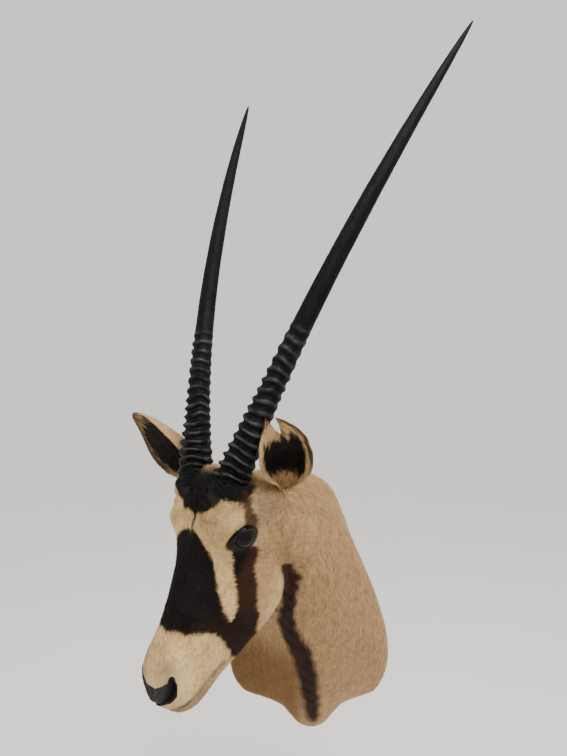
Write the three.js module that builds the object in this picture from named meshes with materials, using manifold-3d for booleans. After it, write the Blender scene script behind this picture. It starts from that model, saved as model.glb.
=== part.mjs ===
// A gemsbok shoulder mount: head, neck and shoulders with ears, two ringed
// horns, two glass eyes, and the board with its hanger that meets the wall.
//
// Millimetres, +Z up. The origin is the middle of the board's rear face, on
// the wall: +X is the viewer's right, +Y points into the wall, and the mount
// stands out towards -Y. Left and right in the names are the animal's own.
// The head has a frame of its own: x runs from between the eyes to the nose,
// y to the animal's left and z out of the forehead.

import * as THREE from "three";
import { mergeVertices } from "three/addons/utils/BufferGeometryUtils.js";
import Module from "manifold-3d";

const wasm = await Module();
wasm.setup();

// Driving dimensions

const WALL_GAP = 1.5; // the skin's rear rim stays this far off the wall
const FIT_GAP = 0.4; // between a piece and the pocket that holds it

const HEAD_AT = [-153, -390.5, 249]; // midway between the eyes
const HEAD_TURN = 47; // degrees to the animal's right
const HEAD_DROP = 62; // degrees nose down

const EYE_BACK = [-3, 51, 2]; // middle of the flat back of the left eye
const EYE_RADIUS = 17;
const EYE_HEIGHT = 23;
const EYE_FORWARD = 14; // degrees from straight sideways
const EYE_UP = 14;

const HORN_LENGTH = 805;
const HORN_BASE = [-56.4, 39.4, 36.7];
const HORN_BEND = 13.6; // degrees, from the base to the tip
const HORN_BEND_POWER = 1.6;
const HORN_BEND_ASIDE = -15.8;
const HORN_LEAN = { left: 10.3, right: 15 }; // degrees forward of the face line
const HORN_SPLAY = { left: 14.5, right: 18 };
const HORN_SIDES = 12;
const ROOT_LENGTH = 16; // of the plain root inside the skin
const ROOT_RADIUS = 25.8;
const ROOT_BEVEL = 2;
const FIRST_RING = 6;
const RINGED_LENGTH = 255;
const RING_STEP = [12.5, 17.5]; // at the base and at the last ring
const RING_HEIGHT = [3.6, 1.5];
const RING_WAVE = 1.6; // how far a ring strays up and down the horn
const WAVE_RUN = 23; // length along the horn in which the wave turns by a radian

const NOSTRIL_AT = [219, 27, -9];
const NOSTRIL_SIZE = [18, 7, 11];
const NOSTRIL_TURN = 24; // degrees outwards at the front

const BOARD_THICK = 18;
const BOARD_INSET = 11; // from the skin's edge to the board's edge
const HANGER_AT = 150; // height of the hanger's middle above the origin
const HANGER_SIZE = [34, 72, 2.4];
const HANGER_SUNK = 0.3; // its rear face below the board's
const HANGER_WELL = [18, 32, 9]; // room behind the keyhole for a screw head
const SCREW_GAP = 0.35;
const SCREW_APART = 56;
const SCREW_HEAD_RADIUS = 4.4;
const SCREW_SHANK_RADIUS = 1.9;
const SCREW_LENGTH = 14;

// Horn thickness: [share of the length from the base, diameter]
const HORN_DIAMETERS = [
  [0, 48.4], [0.04, 45.5], [0.08, 41], [0.12, 37], [0.17, 33.6], [0.24, 31.2],
  [0.32, 29], [0.42, 27], [0.54, 24.8], [0.64, 22], [0.74, 18.8], [0.82, 15.8],
  [0.89, 12.6], [0.95, 8.6], [0.985, 5], [1, 2.4],
];
// One ring of the horn: [share of its step, share of its height]
const RING_SHAPE = [[0, 0], [0.26, 0.85], [0.55, 1], [0.82, 0.6]];
const RING_MIDDLE = 0.55; // share of a ring's height that lies on the plain thickness

// Head sections: [x, top z, bottom z, half width, z of the widest level,
// squareness above it, squareness below it]
const HEAD_SECTIONS = [
  [-84, 12, -58, 42, -22, 2, 2],
  [-78, 26, -80, 54, -18, 2, 2],
  [-64, 37, -102, 62, -12, 2.3, 2],
  [-42, 40, -120, 66, -4, 2.8, 2],
  [-18, 41, -132, 68, 2, 3.1, 2.1],
  [8, 40, -141, 66, 0, 3, 2.2],
  [34, 36, -146, 59, -24, 2.4, 2.4],
  [62, 31, -146, 56, -54, 2.1, 2.5],
  [92, 26, -136, 52, -58, 2.1, 2.5],
  [124, 21, -120, 47, -52, 2.2, 2.4],
  [154, 16, -106, 45, -44, 2.3, 2.4],
  [180, 11, -96, 44, -38, 2.4, 2.4],
  [202, 5, -89, 43, -36, 2.3, 2.4],
  [219, -2, -80, 39, -34, 2.2, 2.3],
  [230, -10, -67, 29, -34, 2.1, 2.2],
  [235, -20, -50, 15, -34, 2, 2],
];
const HEAD_RINGS = 30;
const HEAD_SIDES = 28;

// Soft swellings of the head: [x, y, z, reach, height], each with its mirror
const HEAD_SWELLINGS = [
  [4, 72, 34, 24, 18],
  [6, 64, -24, 18, 5],
  [0, 70, 2, 17, -10],
  [-54, 38, 50, 30, 25],
  [-74, 58, -26, 27, 16],
  [42, 52, -90, 44, 3],
  [207, 32, -12, 17, 4],
  [188, 38, -44, 22, 2],
  [112, 42, -8, 30, -3],
];

// Neck and shoulder sections from the wall to the head: [nape, throat, half
// width, share of the height at the widest level, degrees the section turns,
// squareness above the widest level]
const NECK_SECTIONS = [
  [[0, -WALL_GAP, 252], [0, -WALL_GAP, -267], 156, 0.34, 0, 1.7],
  [[-4, -48, 264], [0, -40, -246], 154, 0.35, 2, 1.7],
  [[-12, -98, 277], [0, -92, -204], 144, 0.37, 5, 1.7],
  [[-26, -155, 291], [-3, -155, -135], 125, 0.4, 10, 1.7],
  [[-46, -215, 304], [-16, -216, -48], 100, 0.43, 18, 1.75],
  [[-70, -278, 315], [-40, -266, 40], 82, 0.45, 28, 1.8],
  [[-98, -335, 321], [-66, -302, 108], 73, 0.46, 38, 1.8],
  [[-122, -364, 324], [-84, -326, 156], 70, 0.5, 45, 2],
  [[-134, -386, 308], [-100, -348, 186], 54, 0.5, 47, 2],
];
const NECK_RINGS = 17;
const NECK_SIDES = 30;
const KEEL_FADE = [0.12, 0.62]; // shares of the neck between which the keel fades

// The skin's edge on the wall, one side from top to bottom: [x, z]. Its keel
// below, between hollow flanks, runs up the front of the shoulders.
const WALL_EDGE = [
  [0, 252], [42, 228], [70, 165], [92, 95], [117, 28], [141, -32], [156, -92],
  [155, -146], [131, -190], [94, -213], [58, -232], [28, -255], [0, -268],
];
const EDGE_WIDEST = 6;

// Ears, in the head's frame: the back of each runs from root through knee to
// tip, and open is the way that the cup faces
const EARS = {
  left: {
    root: [-77, 61, -29], knee: [-122, 93, -8], tip: [-152, 89, 52], open: [0.26, 0.72, 0.6],
  },
  right: {
    root: [-72, -62, -18], knee: [-116, -128, 26], tip: [-127, -212, 84], open: [0.95, 0.1, 0.35],
  },
};
const EAR_HALF_WIDTH = 58; // along the curved skin, at the widest
const EAR_THICK = 5;
const EAR_RINGS = 10;
const EAR_STEPS = 8;
const NOTCH_DEPTH = 26;
const NOTCH_WIDTH = 9;
const NOTCH_ASIDE = -5;
// Along the ear from root to tip: [share of the full width, half angle rolled]
const EAR_PROFILE = [
  [0.56, 165], [0.76, 130], [0.94, 98], [1, 84], [0.94, 76], [0.8, 66], [0.5, 52], [0.12, 40],
];

// Small helpers

const radians = THREE.MathUtils.degToRad;

function vector(list) {
  return new THREE.Vector3(...list);
}

function smoothStep(value) {
  const share = THREE.MathUtils.clamp(value, 0, 1);
  return share * share * (3 - 2 * share);
}

// A row of numbers read from a smooth curve through rows, share from 0 to 1
function between(rows, share) {
  const place = share * (rows.length - 1);
  const start = Math.min(Math.floor(place), rows.length - 2);
  const t = place - start;
  const mirror = (near, far) => near.map((value, i) => 2 * value - far[i]);
  const before = rows[start - 1] ?? mirror(rows[0], rows[1]);
  const after = rows[start + 2] ?? mirror(rows.at(-1), rows.at(-2));
  return rows[start].map((p1, i) => {
    const p0 = before[i];
    const p2 = rows[start + 1][i];
    const p3 = after[i];
    const square = 2 * p0 - 5 * p1 + 4 * p2 - p3;
    const cube = -p0 + 3 * p1 - 3 * p2 + p3;
    return 0.5 * (2 * p1 + (p2 - p0) * t + square * t * t + cube * t * t * t);
  });
}

// Straight lines between [place, value] pairs
function along(pairs, place) {
  const last = pairs.findIndex(([at]) => at >= place);
  if (last <= 0) return pairs[Math.max(last, 0)][1];
  const [x0, y0] = pairs[last - 1];
  const [x1, y1] = pairs[last];
  return y0 + ((y1 - y0) * (place - x0)) / (x1 - x0);
}

// A sine or cosine pushed towards a square by an exponent above two
function squared(value, squareness) {
  return Math.sign(value) * Math.abs(value) ** (2 / squareness);
}

// Closed surface over rings of points, each end closed by a fan to a centre
function skinOver(rings, startCentre, endCentre) {
  const sides = rings[0].length;
  const points = [...rings.flat(), startCentre, endCentre];
  const startIndex = points.length - 2;
  const endIndex = points.length - 1;
  const faces = [];
  for (let ring = 0; ring < rings.length - 1; ring++) {
    for (let side = 0; side < sides; side++) {
      const a = ring * sides + side;
      const b = ring * sides + ((side + 1) % sides);
      faces.push(a, b, a + sides, b, b + sides, a + sides);
    }
  }
  const lastRing = (rings.length - 1) * sides;
  for (let side = 0; side < sides; side++) {
    const next = (side + 1) % sides;
    faces.push(startIndex, next, side);
    faces.push(endIndex, lastRing + side, lastRing + next);
  }
  const places = points.flatMap((point) => point.toArray());
  const geometry = new THREE.BufferGeometry();
  geometry.setAttribute("position", new THREE.Float32BufferAttribute(places, 3));
  geometry.setIndex(faces);
  return facingOut(geometry);
}

// The same surface with its faces turned outwards
function facingOut(geometry) {
  const position = geometry.getAttribute("position");
  const index = geometry.getIndex().array;
  const [a, b, c] = [vector([0, 0, 0]), vector([0, 0, 0]), vector([0, 0, 0])];
  let volume = 0;
  for (let i = 0; i < index.length; i += 3) {
    a.fromBufferAttribute(position, index[i]);
    b.fromBufferAttribute(position, index[i + 1]);
    c.fromBufferAttribute(position, index[i + 2]);
    volume += a.dot(b.cross(c));
  }
  if (volume < 0) geometry.setIndex([...index].reverse());
  return geometry;
}

// Solids for joining and cutting

function solidOf(geometry) {
  const bare = geometry.clone();
  bare.deleteAttribute("normal");
  bare.deleteAttribute("uv");
  const merged = mergeVertices(bare, 1e-4);
  return new wasm.Manifold(
    new wasm.Mesh({
      numProp: 3,
      vertProperties: new Float32Array(merged.getAttribute("position").array),
      triVerts: new Uint32Array(merged.getIndex().array),
    }),
  );
}

function geometryOf(solid) {
  const mesh = solid.getMesh();
  const geometry = new THREE.BufferGeometry();
  geometry.setAttribute("position", new THREE.Float32BufferAttribute(mesh.vertProperties, 3));
  geometry.setIndex([...mesh.triVerts]);
  return geometry;
}

// The head's place

const headPlace = new THREE.Object3D();
headPlace.position.set(...HEAD_AT);
headPlace.rotation.set(0, radians(HEAD_DROP), radians(-90 - HEAD_TURN), "ZYX");
headPlace.updateMatrix();

function onHead(geometry) {
  return geometry.clone().applyMatrix4(headPlace.matrix);
}

// Head

function headPoint(share, angle) {
  const row = between(HEAD_SECTIONS, share);
  const [x, top, bottom, half, level, squareAbove, squareBelow] = row;
  const above = Math.cos(angle) > 0;
  const squareness = above ? squareAbove : squareBelow;
  const height = above ? top - level : level - bottom;
  const y = half * squared(Math.sin(angle), squareness);
  const z = level + height * squared(Math.cos(angle), squareness);
  const point = new THREE.Vector3(x, y, z);
  const outward = new THREE.Vector3(0, y, z - level).normalize();
  const mirrored = new THREE.Vector3(x, Math.abs(y), z);
  let swelling = 0;
  for (const [sx, sy, sz, reach, tall] of HEAD_SWELLINGS) {
    const gap = mirrored.distanceTo(vector([sx, sy, sz])) / reach;
    swelling += tall * Math.exp(-gap * gap);
  }
  return point.addScaledVector(outward, swelling);
}

function headSolid() {
  const rings = [];
  for (let ring = 0; ring < HEAD_RINGS; ring++) {
    const share = ring / (HEAD_RINGS - 1);
    const points = [];
    for (let side = 0; side < HEAD_SIDES; side++) {
      points.push(headPoint(share, (2 * Math.PI * side) / HEAD_SIDES));
    }
    rings.push(points);
  }
  const [backX, , , , backLevel] = HEAD_SECTIONS[0];
  const [noseX, , , , noseLevel] = HEAD_SECTIONS.at(-1);
  const back = new THREE.Vector3(backX, 0, backLevel);
  const nose = new THREE.Vector3(noseX + 1, 0, noseLevel);
  return solidOf(onHead(skinOver(rings, back, nose)));
}

// Neck and shoulders

// The wall edge at an angle from the top, as shares of its half width and of
// its height above or below the widest level
function edgeShape(angle) {
  const turn = angle / Math.PI;
  const [x, z] = between(WALL_EDGE, turn <= 1 ? turn : 2 - turn);
  const [widest, level] = WALL_EDGE[EDGE_WIDEST];
  const end = z > level ? WALL_EDGE[0][1] : WALL_EDGE.at(-1)[1];
  return { aside: (turn <= 1 ? x : -x) / widest, rise: (z - level) / (end - level), above: z > level };
}

function neckPoint(share, angle) {
  const row = between(NECK_SECTIONS.map((section) => section.flat()), share);
  const nape = vector(row.slice(0, 3));
  const throat = vector(row.slice(3, 6));
  const [half, level, turn, squareAbove] = row.slice(6);
  const centre = throat.clone().lerp(nape, level);
  const sideways = new THREE.Vector3(Math.cos(radians(turn)), -Math.sin(radians(turn)), 0);
  const upper = Math.cos(angle) > 0;
  const squareness = upper ? squareAbove : 2;
  const height = Math.abs(squared(Math.cos(angle), squareness));
  const oval = centre.clone().lerp(upper ? nape : throat, height);
  oval.addScaledVector(sideways, half * squared(Math.sin(angle), squareness));
  const { aside, rise, above } = edgeShape(angle);
  const keeled = centre.clone().lerp(above ? nape : throat, rise).addScaledVector(sideways, half * aside);
  const [start, end] = KEEL_FADE;
  return keeled.lerp(oval, smoothStep((share - start) / (end - start)));
}

function neckSolid() {
  const rings = [];
  for (let ring = 0; ring < NECK_RINGS; ring++) {
    const points = [];
    for (let side = 0; side < NECK_SIDES; side++) {
      points.push(neckPoint(ring / (NECK_RINGS - 1), (2 * Math.PI * side) / NECK_SIDES));
    }
    rings.push(points);
  }
  const middle = (points) => points[0].clone().lerp(points[NECK_SIDES / 2], 0.5);
  return solidOf(skinOver(rings, middle(rings[0]), middle(rings.at(-1))));
}

// Ears

// The V torn out of the left ear's tip: a wedge through the ear, its apex down
function earNotch({ root, knee, tip, open }) {
  const spine = new THREE.QuadraticBezierCurve3(vector(root), vector(knee), vector(tip));
  const run = spine.getTangent(1);
  const facing = vector(open).addScaledVector(run, -vector(open).dot(run)).normalize();
  const aside = new THREE.Vector3().crossVectors(run, facing);
  const wedge = new THREE.Shape();
  wedge.moveTo(0, -NOTCH_DEPTH);
  wedge.lineTo(NOTCH_WIDTH, NOTCH_DEPTH);
  wedge.lineTo(-NOTCH_WIDTH, NOTCH_DEPTH);
  wedge.closePath();
  const through = 4 * EAR_THICK;
  const geometry = new THREE.ExtrudeGeometry(wedge, { depth: 2 * through, bevelEnabled: false });
  geometry.translate(NOTCH_ASIDE, 0, -through);
  geometry.applyMatrix4(new THREE.Matrix4().makeBasis(aside, run, facing));
  return solidOf(onHead(geometry.translate(...tip)));
}

function earSolid({ root, knee, tip, open }) {
  const spine = new THREE.QuadraticBezierCurve3(vector(root), vector(knee), vector(tip));
  const rings = [];
  for (let ring = 0; ring < EAR_RINGS; ring++) {
    const share = ring / (EAR_RINGS - 1);
    const [width, rolled] = between(EAR_PROFILE, share);
    const centre = spine.getPoint(share);
    const run = spine.getTangent(share);
    const facing = vector(open).addScaledVector(run, -vector(open).dot(run)).normalize();
    const aside = new THREE.Vector3().crossVectors(run, facing);
    const halfAngle = radians(rolled);
    const radius = (EAR_HALF_WIDTH * width) / halfAngle;
    const at = (turn, offset) => {
      const point = centre.clone().addScaledVector(facing, radius - (radius + offset) * Math.cos(turn));
      return point.addScaledVector(aside, (radius + offset) * Math.sin(turn));
    };
    const points = [];
    for (let step = -EAR_STEPS; step <= EAR_STEPS; step += 2) {
      points.push(at((halfAngle * step) / EAR_STEPS, EAR_THICK / 2));
    }
    for (let step = EAR_STEPS; step >= -EAR_STEPS; step -= 2) {
      points.push(at((halfAngle * step) / EAR_STEPS, -EAR_THICK / 2));
    }
    rings.push(points);
  }
  const middle = (points) => points[EAR_STEPS / 2].clone().lerp(points[EAR_STEPS + 1 + EAR_STEPS / 2], 0.5);
  return solidOf(onHead(skinOver(rings, middle(rings[0]), middle(rings.at(-1)))));
}

// Horns

// Points, directions and side vectors along a horn, in the head's frame
function hornPath(side) {
  const sign = side === "left" ? 1 : -1;
  const lean = radians(HORN_LEAN[side]);
  const splay = radians(HORN_SPLAY[side]);
  const aside = radians(HORN_BEND_ASIDE);
  const start = new THREE.Vector3(
    -Math.cos(lean) * Math.cos(splay),
    sign * Math.sin(splay),
    Math.sin(lean) * Math.cos(splay),
  );
  const towards = new THREE.Vector3(0, sign * Math.sin(aside), -Math.cos(aside));
  towards.addScaledVector(start, -towards.dot(start)).normalize();
  const [baseX, baseY, baseZ] = HORN_BASE;
  const base = new THREE.Vector3(baseX, sign * baseY, baseZ);
  const across = new THREE.Vector3().crossVectors(start, towards);
  const heading = (share) => {
    const bend = radians(HORN_BEND) * (1 - (1 - Math.max(share, 0)) ** HORN_BEND_POWER);
    return start.clone().multiplyScalar(Math.cos(bend)).addScaledVector(towards, Math.sin(bend));
  };
  const STEPS = 200;
  const stops = [base.clone()];
  for (let step = 0; step < STEPS; step++) {
    const next = stops.at(-1).clone();
    stops.push(next.addScaledVector(heading((step + 0.5) / STEPS), HORN_LENGTH / STEPS));
  }
  const pointAt = (length) => {
    if (length <= 0) return base.clone().addScaledVector(start, length);
    const place = Math.min(length / HORN_LENGTH, 1) * STEPS;
    const stop = Math.min(Math.floor(place), STEPS - 1);
    return stops[stop].clone().lerp(stops[stop + 1], place - stop);
  };
  return { pointAt, heading, across };
}

// Where the horn's sections lie: [length from the base, ridge from 0 to 1]
function hornStations() {
  const stations = [];
  let start = FIRST_RING;
  while (start < RINGED_LENGTH) {
    const step = THREE.MathUtils.lerp(...RING_STEP, start / RINGED_LENGTH);
    for (const [place, ridge] of RING_SHAPE) stations.push([start + place * step, ridge]);
    start += step;
  }
  const SMOOTH_STEPS = 9;
  const CLOSER_TO_TIP = 0.9;
  for (let step = 0; step <= SMOOTH_STEPS; step++) {
    stations.push([THREE.MathUtils.lerp(start, HORN_LENGTH, (step / SMOOTH_STEPS) ** CLOSER_TO_TIP), 0]);
  }
  return stations;
}

function hornGeometry(side) {
  const { pointAt, heading, across } = hornPath(side);
  const ringAt = (length, radius, wave) => {
    const points = [];
    for (let turn = 0; turn < HORN_SIDES; turn++) {
      const angle = (2 * Math.PI * turn) / HORN_SIDES;
      const place = length + wave * Math.sin(2 * angle + length / WAVE_RUN);
      const inward = new THREE.Vector3().crossVectors(heading(place / HORN_LENGTH), across);
      const point = pointAt(place);
      point.addScaledVector(across, radius * Math.cos(angle));
      points.push(point.addScaledVector(inward, radius * Math.sin(angle)));
    }
    return points;
  };
  const rings = [
    ringAt(-ROOT_LENGTH, ROOT_RADIUS - ROOT_BEVEL, 0),
    ringAt(-ROOT_LENGTH + ROOT_BEVEL, ROOT_RADIUS, 0),
    ringAt(0, ROOT_RADIUS, 0),
  ];
  for (const [length, ridge] of hornStations()) {
    const share = length / HORN_LENGTH;
    const ringed = THREE.MathUtils.clamp(length / RINGED_LENGTH, 0, 1);
    const height = THREE.MathUtils.lerp(...RING_HEIGHT, ringed);
    const radius = along(HORN_DIAMETERS, share) / 2 + (ridge - RING_MIDDLE) * (ringed < 1 ? height : 0);
    rings.push(ringAt(length, radius, ringed < 1 ? RING_WAVE : 0));
  }
  return skinOver(rings, pointAt(-ROOT_LENGTH), pointAt(HORN_LENGTH + 1));
}

// The hole in the skin that a horn stands in
function hornPocket(side) {
  const POCKET_REACH = 70;
  const SIDES = 32;
  const { pointAt, heading } = hornPath(side);
  const length = ROOT_LENGTH + FIT_GAP + POCKET_REACH;
  const radius = ROOT_RADIUS + FIT_GAP;
  const pocket = new THREE.CylinderGeometry(radius, radius, length, SIDES);
  const placed = new THREE.Object3D();
  placed.quaternion.setFromUnitVectors(new THREE.Vector3(0, 1, 0), heading(0));
  placed.position.copy(pointAt((POCKET_REACH - ROOT_LENGTH - FIT_GAP) / 2));
  placed.updateMatrix();
  return solidOf(onHead(pocket.applyMatrix4(placed.matrix)));
}

// Eyes

// A glass eye: a flat back and a domed front that points along +Z
function eyeGeometry(extra) {
  const ROWS = 4;
  const SIDES = 16;
  const radius = EYE_RADIUS + extra;
  const profile = [new THREE.Vector2(0, -extra), new THREE.Vector2(radius, -extra)];
  for (let row = 0; row <= ROWS; row++) {
    const angle = (Math.PI / 2) * (row / ROWS);
    const height = EYE_HEIGHT - EYE_RADIUS + radius * Math.sin(angle);
    profile.push(new THREE.Vector2(row === ROWS ? 0 : radius * Math.cos(angle), height));
  }
  return new THREE.LatheGeometry(profile, SIDES);
}

function eyePlace(sign) {
  const place = new THREE.Object3D();
  const [x, y, z] = EYE_BACK;
  const forward = Math.sin(radians(EYE_FORWARD));
  const up = Math.sin(radians(EYE_UP));
  place.position.set(x, sign * y, z);
  place.quaternion.setFromUnitVectors(
    new THREE.Vector3(0, 0, 1),
    new THREE.Vector3(forward, sign * Math.sqrt(1 - forward ** 2 - up ** 2), up),
  );
  place.updateMatrix();
  return place;
}

function eyePocket(sign) {
  return solidOf(onHead(eyeGeometry(FIT_GAP).applyMatrix4(eyePlace(sign).matrix)));
}

// Nostrils

function nostrilPit(sign) {
  const pit = new THREE.SphereGeometry(1, 12, 8).scale(...NOSTRIL_SIZE);
  const [x, y, z] = NOSTRIL_AT;
  pit.rotateZ(sign * radians(NOSTRIL_TURN));
  pit.translate(x, sign * y, z);
  return solidOf(onHead(pit));
}

// Board and hanger

// The skin's edge on the wall moved inwards, as points all round
function boardOutline(inset) {
  const STEPS = 44;
  const edge = [];
  for (let step = 0; step < STEPS; step++) {
    const turn = (2 * step) / STEPS;
    const [x, z] = between(WALL_EDGE, turn <= 1 ? turn : 2 - turn);
    edge.push(new THREE.Vector2(turn <= 1 ? x : -x, z));
  }
  return edge.map((point, i) => {
    const before = edge.at(i - 1);
    const after = edge[(i + 1) % STEPS];
    const run = after.clone().sub(before).normalize();
    return new THREE.Vector2(point.x - inset * -run.y, point.y - inset * run.x);
  });
}

// A plate of thickness thick whose rear face lies at depth y
function plate(shape, thick, y) {
  const geometry = new THREE.ExtrudeGeometry(shape, { depth: thick, bevelEnabled: false });
  return geometry.rotateX(Math.PI / 2).translate(0, y, 0);
}

function rectangle(width, height, middle) {
  const shape = new THREE.Shape();
  shape.moveTo(-width / 2, middle - height / 2);
  shape.lineTo(width / 2, middle - height / 2);
  shape.lineTo(width / 2, middle + height / 2);
  shape.lineTo(-width / 2, middle + height / 2);
  shape.closePath();
  return shape;
}

// A round entry with a narrow slot above it, for the head of a wall screw
function keyhole(middle) {
  const ENTRY_RADIUS = 6;
  const SLOT_HALF = 3;
  const SLOT_RISE = 15;
  const entry = middle - SLOT_RISE / 2;
  const hole = new THREE.Path();
  hole.absarc(0, entry, ENTRY_RADIUS, Math.PI / 3, (2 * Math.PI) / 3, true);
  hole.lineTo(-SLOT_HALF, entry + SLOT_RISE);
  hole.absarc(0, entry + SLOT_RISE, SLOT_HALF, Math.PI, 0, true);
  hole.closePath();
  return hole;
}

// A countersunk screw driven into the board from behind, head at the wall.
// With extra it is the hole for that screw, open through the wall face.
function screwSolid(height, extra) {
  const SIDES = 12;
  const head = SCREW_HEAD_RADIUS + extra;
  const shank = SCREW_SHANK_RADIUS + extra;
  const profile = [
    [0, -SCREW_LENGTH - extra], [shank, -SCREW_LENGTH - extra], [shank, -HANGER_SIZE[2]], [head, 0],
    [head, extra], [0, extra],
  ];
  const screw = new THREE.LatheGeometry(profile.map(([x, y]) => new THREE.Vector2(x, y)), SIDES);
  return solidOf(screw.translate(0, -HANGER_SUNK, height));
}

function screwHeights() {
  return [HANGER_AT + SCREW_APART / 2, HANGER_AT - SCREW_APART / 2];
}

function hangerSolid() {
  const [width, height, thick] = HANGER_SIZE;
  const shape = rectangle(width, height, HANGER_AT);
  shape.holes.push(keyhole(HANGER_AT));
  let solid = solidOf(plate(shape, thick, -HANGER_SUNK));
  for (const at of screwHeights()) solid = solid.subtract(screwSolid(at, SCREW_GAP));
  return solid;
}

function boardSolid() {
  const [width, height, thick] = HANGER_SIZE;
  const recess = rectangle(width + 2 * FIT_GAP, height + 2 * FIT_GAP, HANGER_AT);
  const [wellWidth, wellHeight, wellDepth] = HANGER_WELL;
  const well = rectangle(wellWidth, wellHeight, HANGER_AT);
  const OPEN = 1; // a cut starts this far behind the face that it opens
  const recessDepth = HANGER_SUNK + thick + FIT_GAP;
  let solid = solidOf(plate(new THREE.Shape(boardOutline(BOARD_INSET)), BOARD_THICK, 0));
  solid = solid.subtract(solidOf(plate(recess, OPEN + recessDepth, OPEN)));
  solid = solid.subtract(solidOf(plate(well, OPEN + recessDepth + wellDepth, OPEN)));
  for (const at of screwHeights()) solid = solid.subtract(screwSolid(at, SCREW_GAP));
  return solid;
}

// The whole skin

function hideSolid() {
  let solid = headSolid().add(neckSolid());
  solid = solid.add(earSolid(EARS.right));
  solid = solid.add(earSolid(EARS.left).subtract(earNotch(EARS.left)));
  for (const sign of [1, -1]) {
    solid = solid.subtract(eyePocket(sign));
    solid = solid.subtract(nostrilPit(sign));
  }
  for (const side of ["left", "right"]) solid = solid.subtract(hornPocket(side));
  const pocket = new THREE.Shape(boardOutline(BOARD_INSET - FIT_GAP));
  return solid.subtract(solidOf(plate(pocket, BOARD_THICK + FIT_GAP + 1, 1)));
}

// The mount

function piece(name, geometry, material) {
  const mesh = new THREE.Mesh(geometry, material);
  mesh.name = name;
  return mesh;
}

function finish(color, roughness, metalness = 0) {
  return new THREE.MeshStandardMaterial({ color, roughness, metalness });
}

const mount = new THREE.Group();
mount.add(piece("hide", geometryOf(hideSolid()), finish("#b59a78", 0.9)));
mount.add(piece("backboard", geometryOf(boardSolid()), finish("#a98455", 0.75)));
mount.add(piece("hanger", geometryOf(hangerSolid()), finish("#9a9c9e", 0.35, 1)));
screwHeights().forEach((height, i) => {
  const name = ["hanger_screw_upper", "hanger_screw_lower"][i];
  mount.add(piece(name, geometryOf(screwSolid(height, 0)), finish("#8d8f92", 0.35, 1)));
});

const head = new THREE.Group();
head.position.copy(headPlace.position);
head.rotation.copy(headPlace.rotation);
for (const [side, sign] of [["left", 1], ["right", -1]]) {
  head.add(piece(`horn_${side}`, hornGeometry(side), finish("#26241f", 0.5)));
  const eye = piece(`eye_${side}`, eyeGeometry(0), finish("#140d08", 0.05));
  eye.position.copy(eyePlace(sign).position);
  eye.quaternion.copy(eyePlace(sign).quaternion);
  head.add(eye);
}
mount.add(head);

export default mount;
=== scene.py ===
import bpy
import numpy as np
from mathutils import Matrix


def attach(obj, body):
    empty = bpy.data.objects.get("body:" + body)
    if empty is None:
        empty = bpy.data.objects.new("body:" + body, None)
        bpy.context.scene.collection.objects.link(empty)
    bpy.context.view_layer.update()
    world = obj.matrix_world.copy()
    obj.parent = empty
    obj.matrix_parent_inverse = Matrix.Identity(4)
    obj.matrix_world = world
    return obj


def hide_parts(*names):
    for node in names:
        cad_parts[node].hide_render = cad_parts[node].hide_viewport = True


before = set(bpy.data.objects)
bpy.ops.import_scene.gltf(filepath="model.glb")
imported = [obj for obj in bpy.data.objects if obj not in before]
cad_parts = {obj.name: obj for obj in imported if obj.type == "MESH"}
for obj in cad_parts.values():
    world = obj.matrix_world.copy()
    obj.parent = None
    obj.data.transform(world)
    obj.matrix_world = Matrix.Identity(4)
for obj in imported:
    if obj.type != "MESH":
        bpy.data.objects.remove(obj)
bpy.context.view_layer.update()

# %% [markdown]
# ## Camera
# The camera stands where the photographer stood: level with the upper rings
# of the horns, 1.2 m from the wall and looking straight at it. The focal
# length is stated in pixels of the picture, because that is how a view is
# fitted to straight lines in it, and Blender's lens follows from the sensor's
# long side.
# %% Camera
PICTURE_HEIGHT = 756
FOCAL_PIXELS = 568
SENSOR_WIDTH = 36.0
CAMERA_AT = (-0.056, -1.2024, 0.463)

camera = bpy.data.objects.new("camera", bpy.data.cameras.new("camera"))
camera.data.sensor_width = SENSOR_WIDTH
camera.data.lens = SENSOR_WIDTH * FOCAL_PIXELS / PICTURE_HEIGHT
camera.data.clip_start = 0.02
camera.location = CAMERA_AT
camera.rotation_euler = (np.pi / 2, 0, 0)
bpy.context.scene.collection.objects.link(camera)
bpy.context.scene.camera = camera
print("Lens", round(camera.data.lens, 2), "mm")

# %% [markdown]
# ## Shader maths as Python
# A material is a graph of nodes. Written node by node it is hard to read, so
# one small class wraps an output socket and lets `a * 0.5 + b` add the Math
# nodes. Colours never go through Math, which would turn them grey: they have
# `mix`. Every other node comes from one method, `node`, that sets the node's
# own settings first and then its input sockets.
# %% Wrap a socket
class Value:
    """An output socket of a shader graph, with arithmetic."""

    def __init__(self, finish, socket):
        self.finish, self.socket = finish, socket

    def _math(self, operation, *values):
        return self.finish.node("ShaderNodeMath", {"operation": operation}, dict(enumerate(values)))

    def __add__(self, other):
        return self._math("ADD", self, other)

    def __sub__(self, other):
        return self._math("SUBTRACT", self, other)

    def __rsub__(self, other):
        return self._math("SUBTRACT", other, self)

    def __mul__(self, other):
        return self._math("MULTIPLY", self, other)

    def __pow__(self, other):
        return self._math("POWER", self, other)

    __radd__ = __add__
    __rmul__ = __mul__

    def clamp(self):
        """The value kept between 0 and 1."""
        return self.finish.node("ShaderNodeClamp", {}, {"Value": self})

    def step(self, low, high):
        """0 below low, 1 above high and a smooth run between them."""
        settings = {"interpolation_type": "SMOOTHSTEP"}
        ends = {"Value": self, "From Min": low, "From Max": high}
        return self.finish.node("ShaderNodeMapRange", settings, ends)


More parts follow.
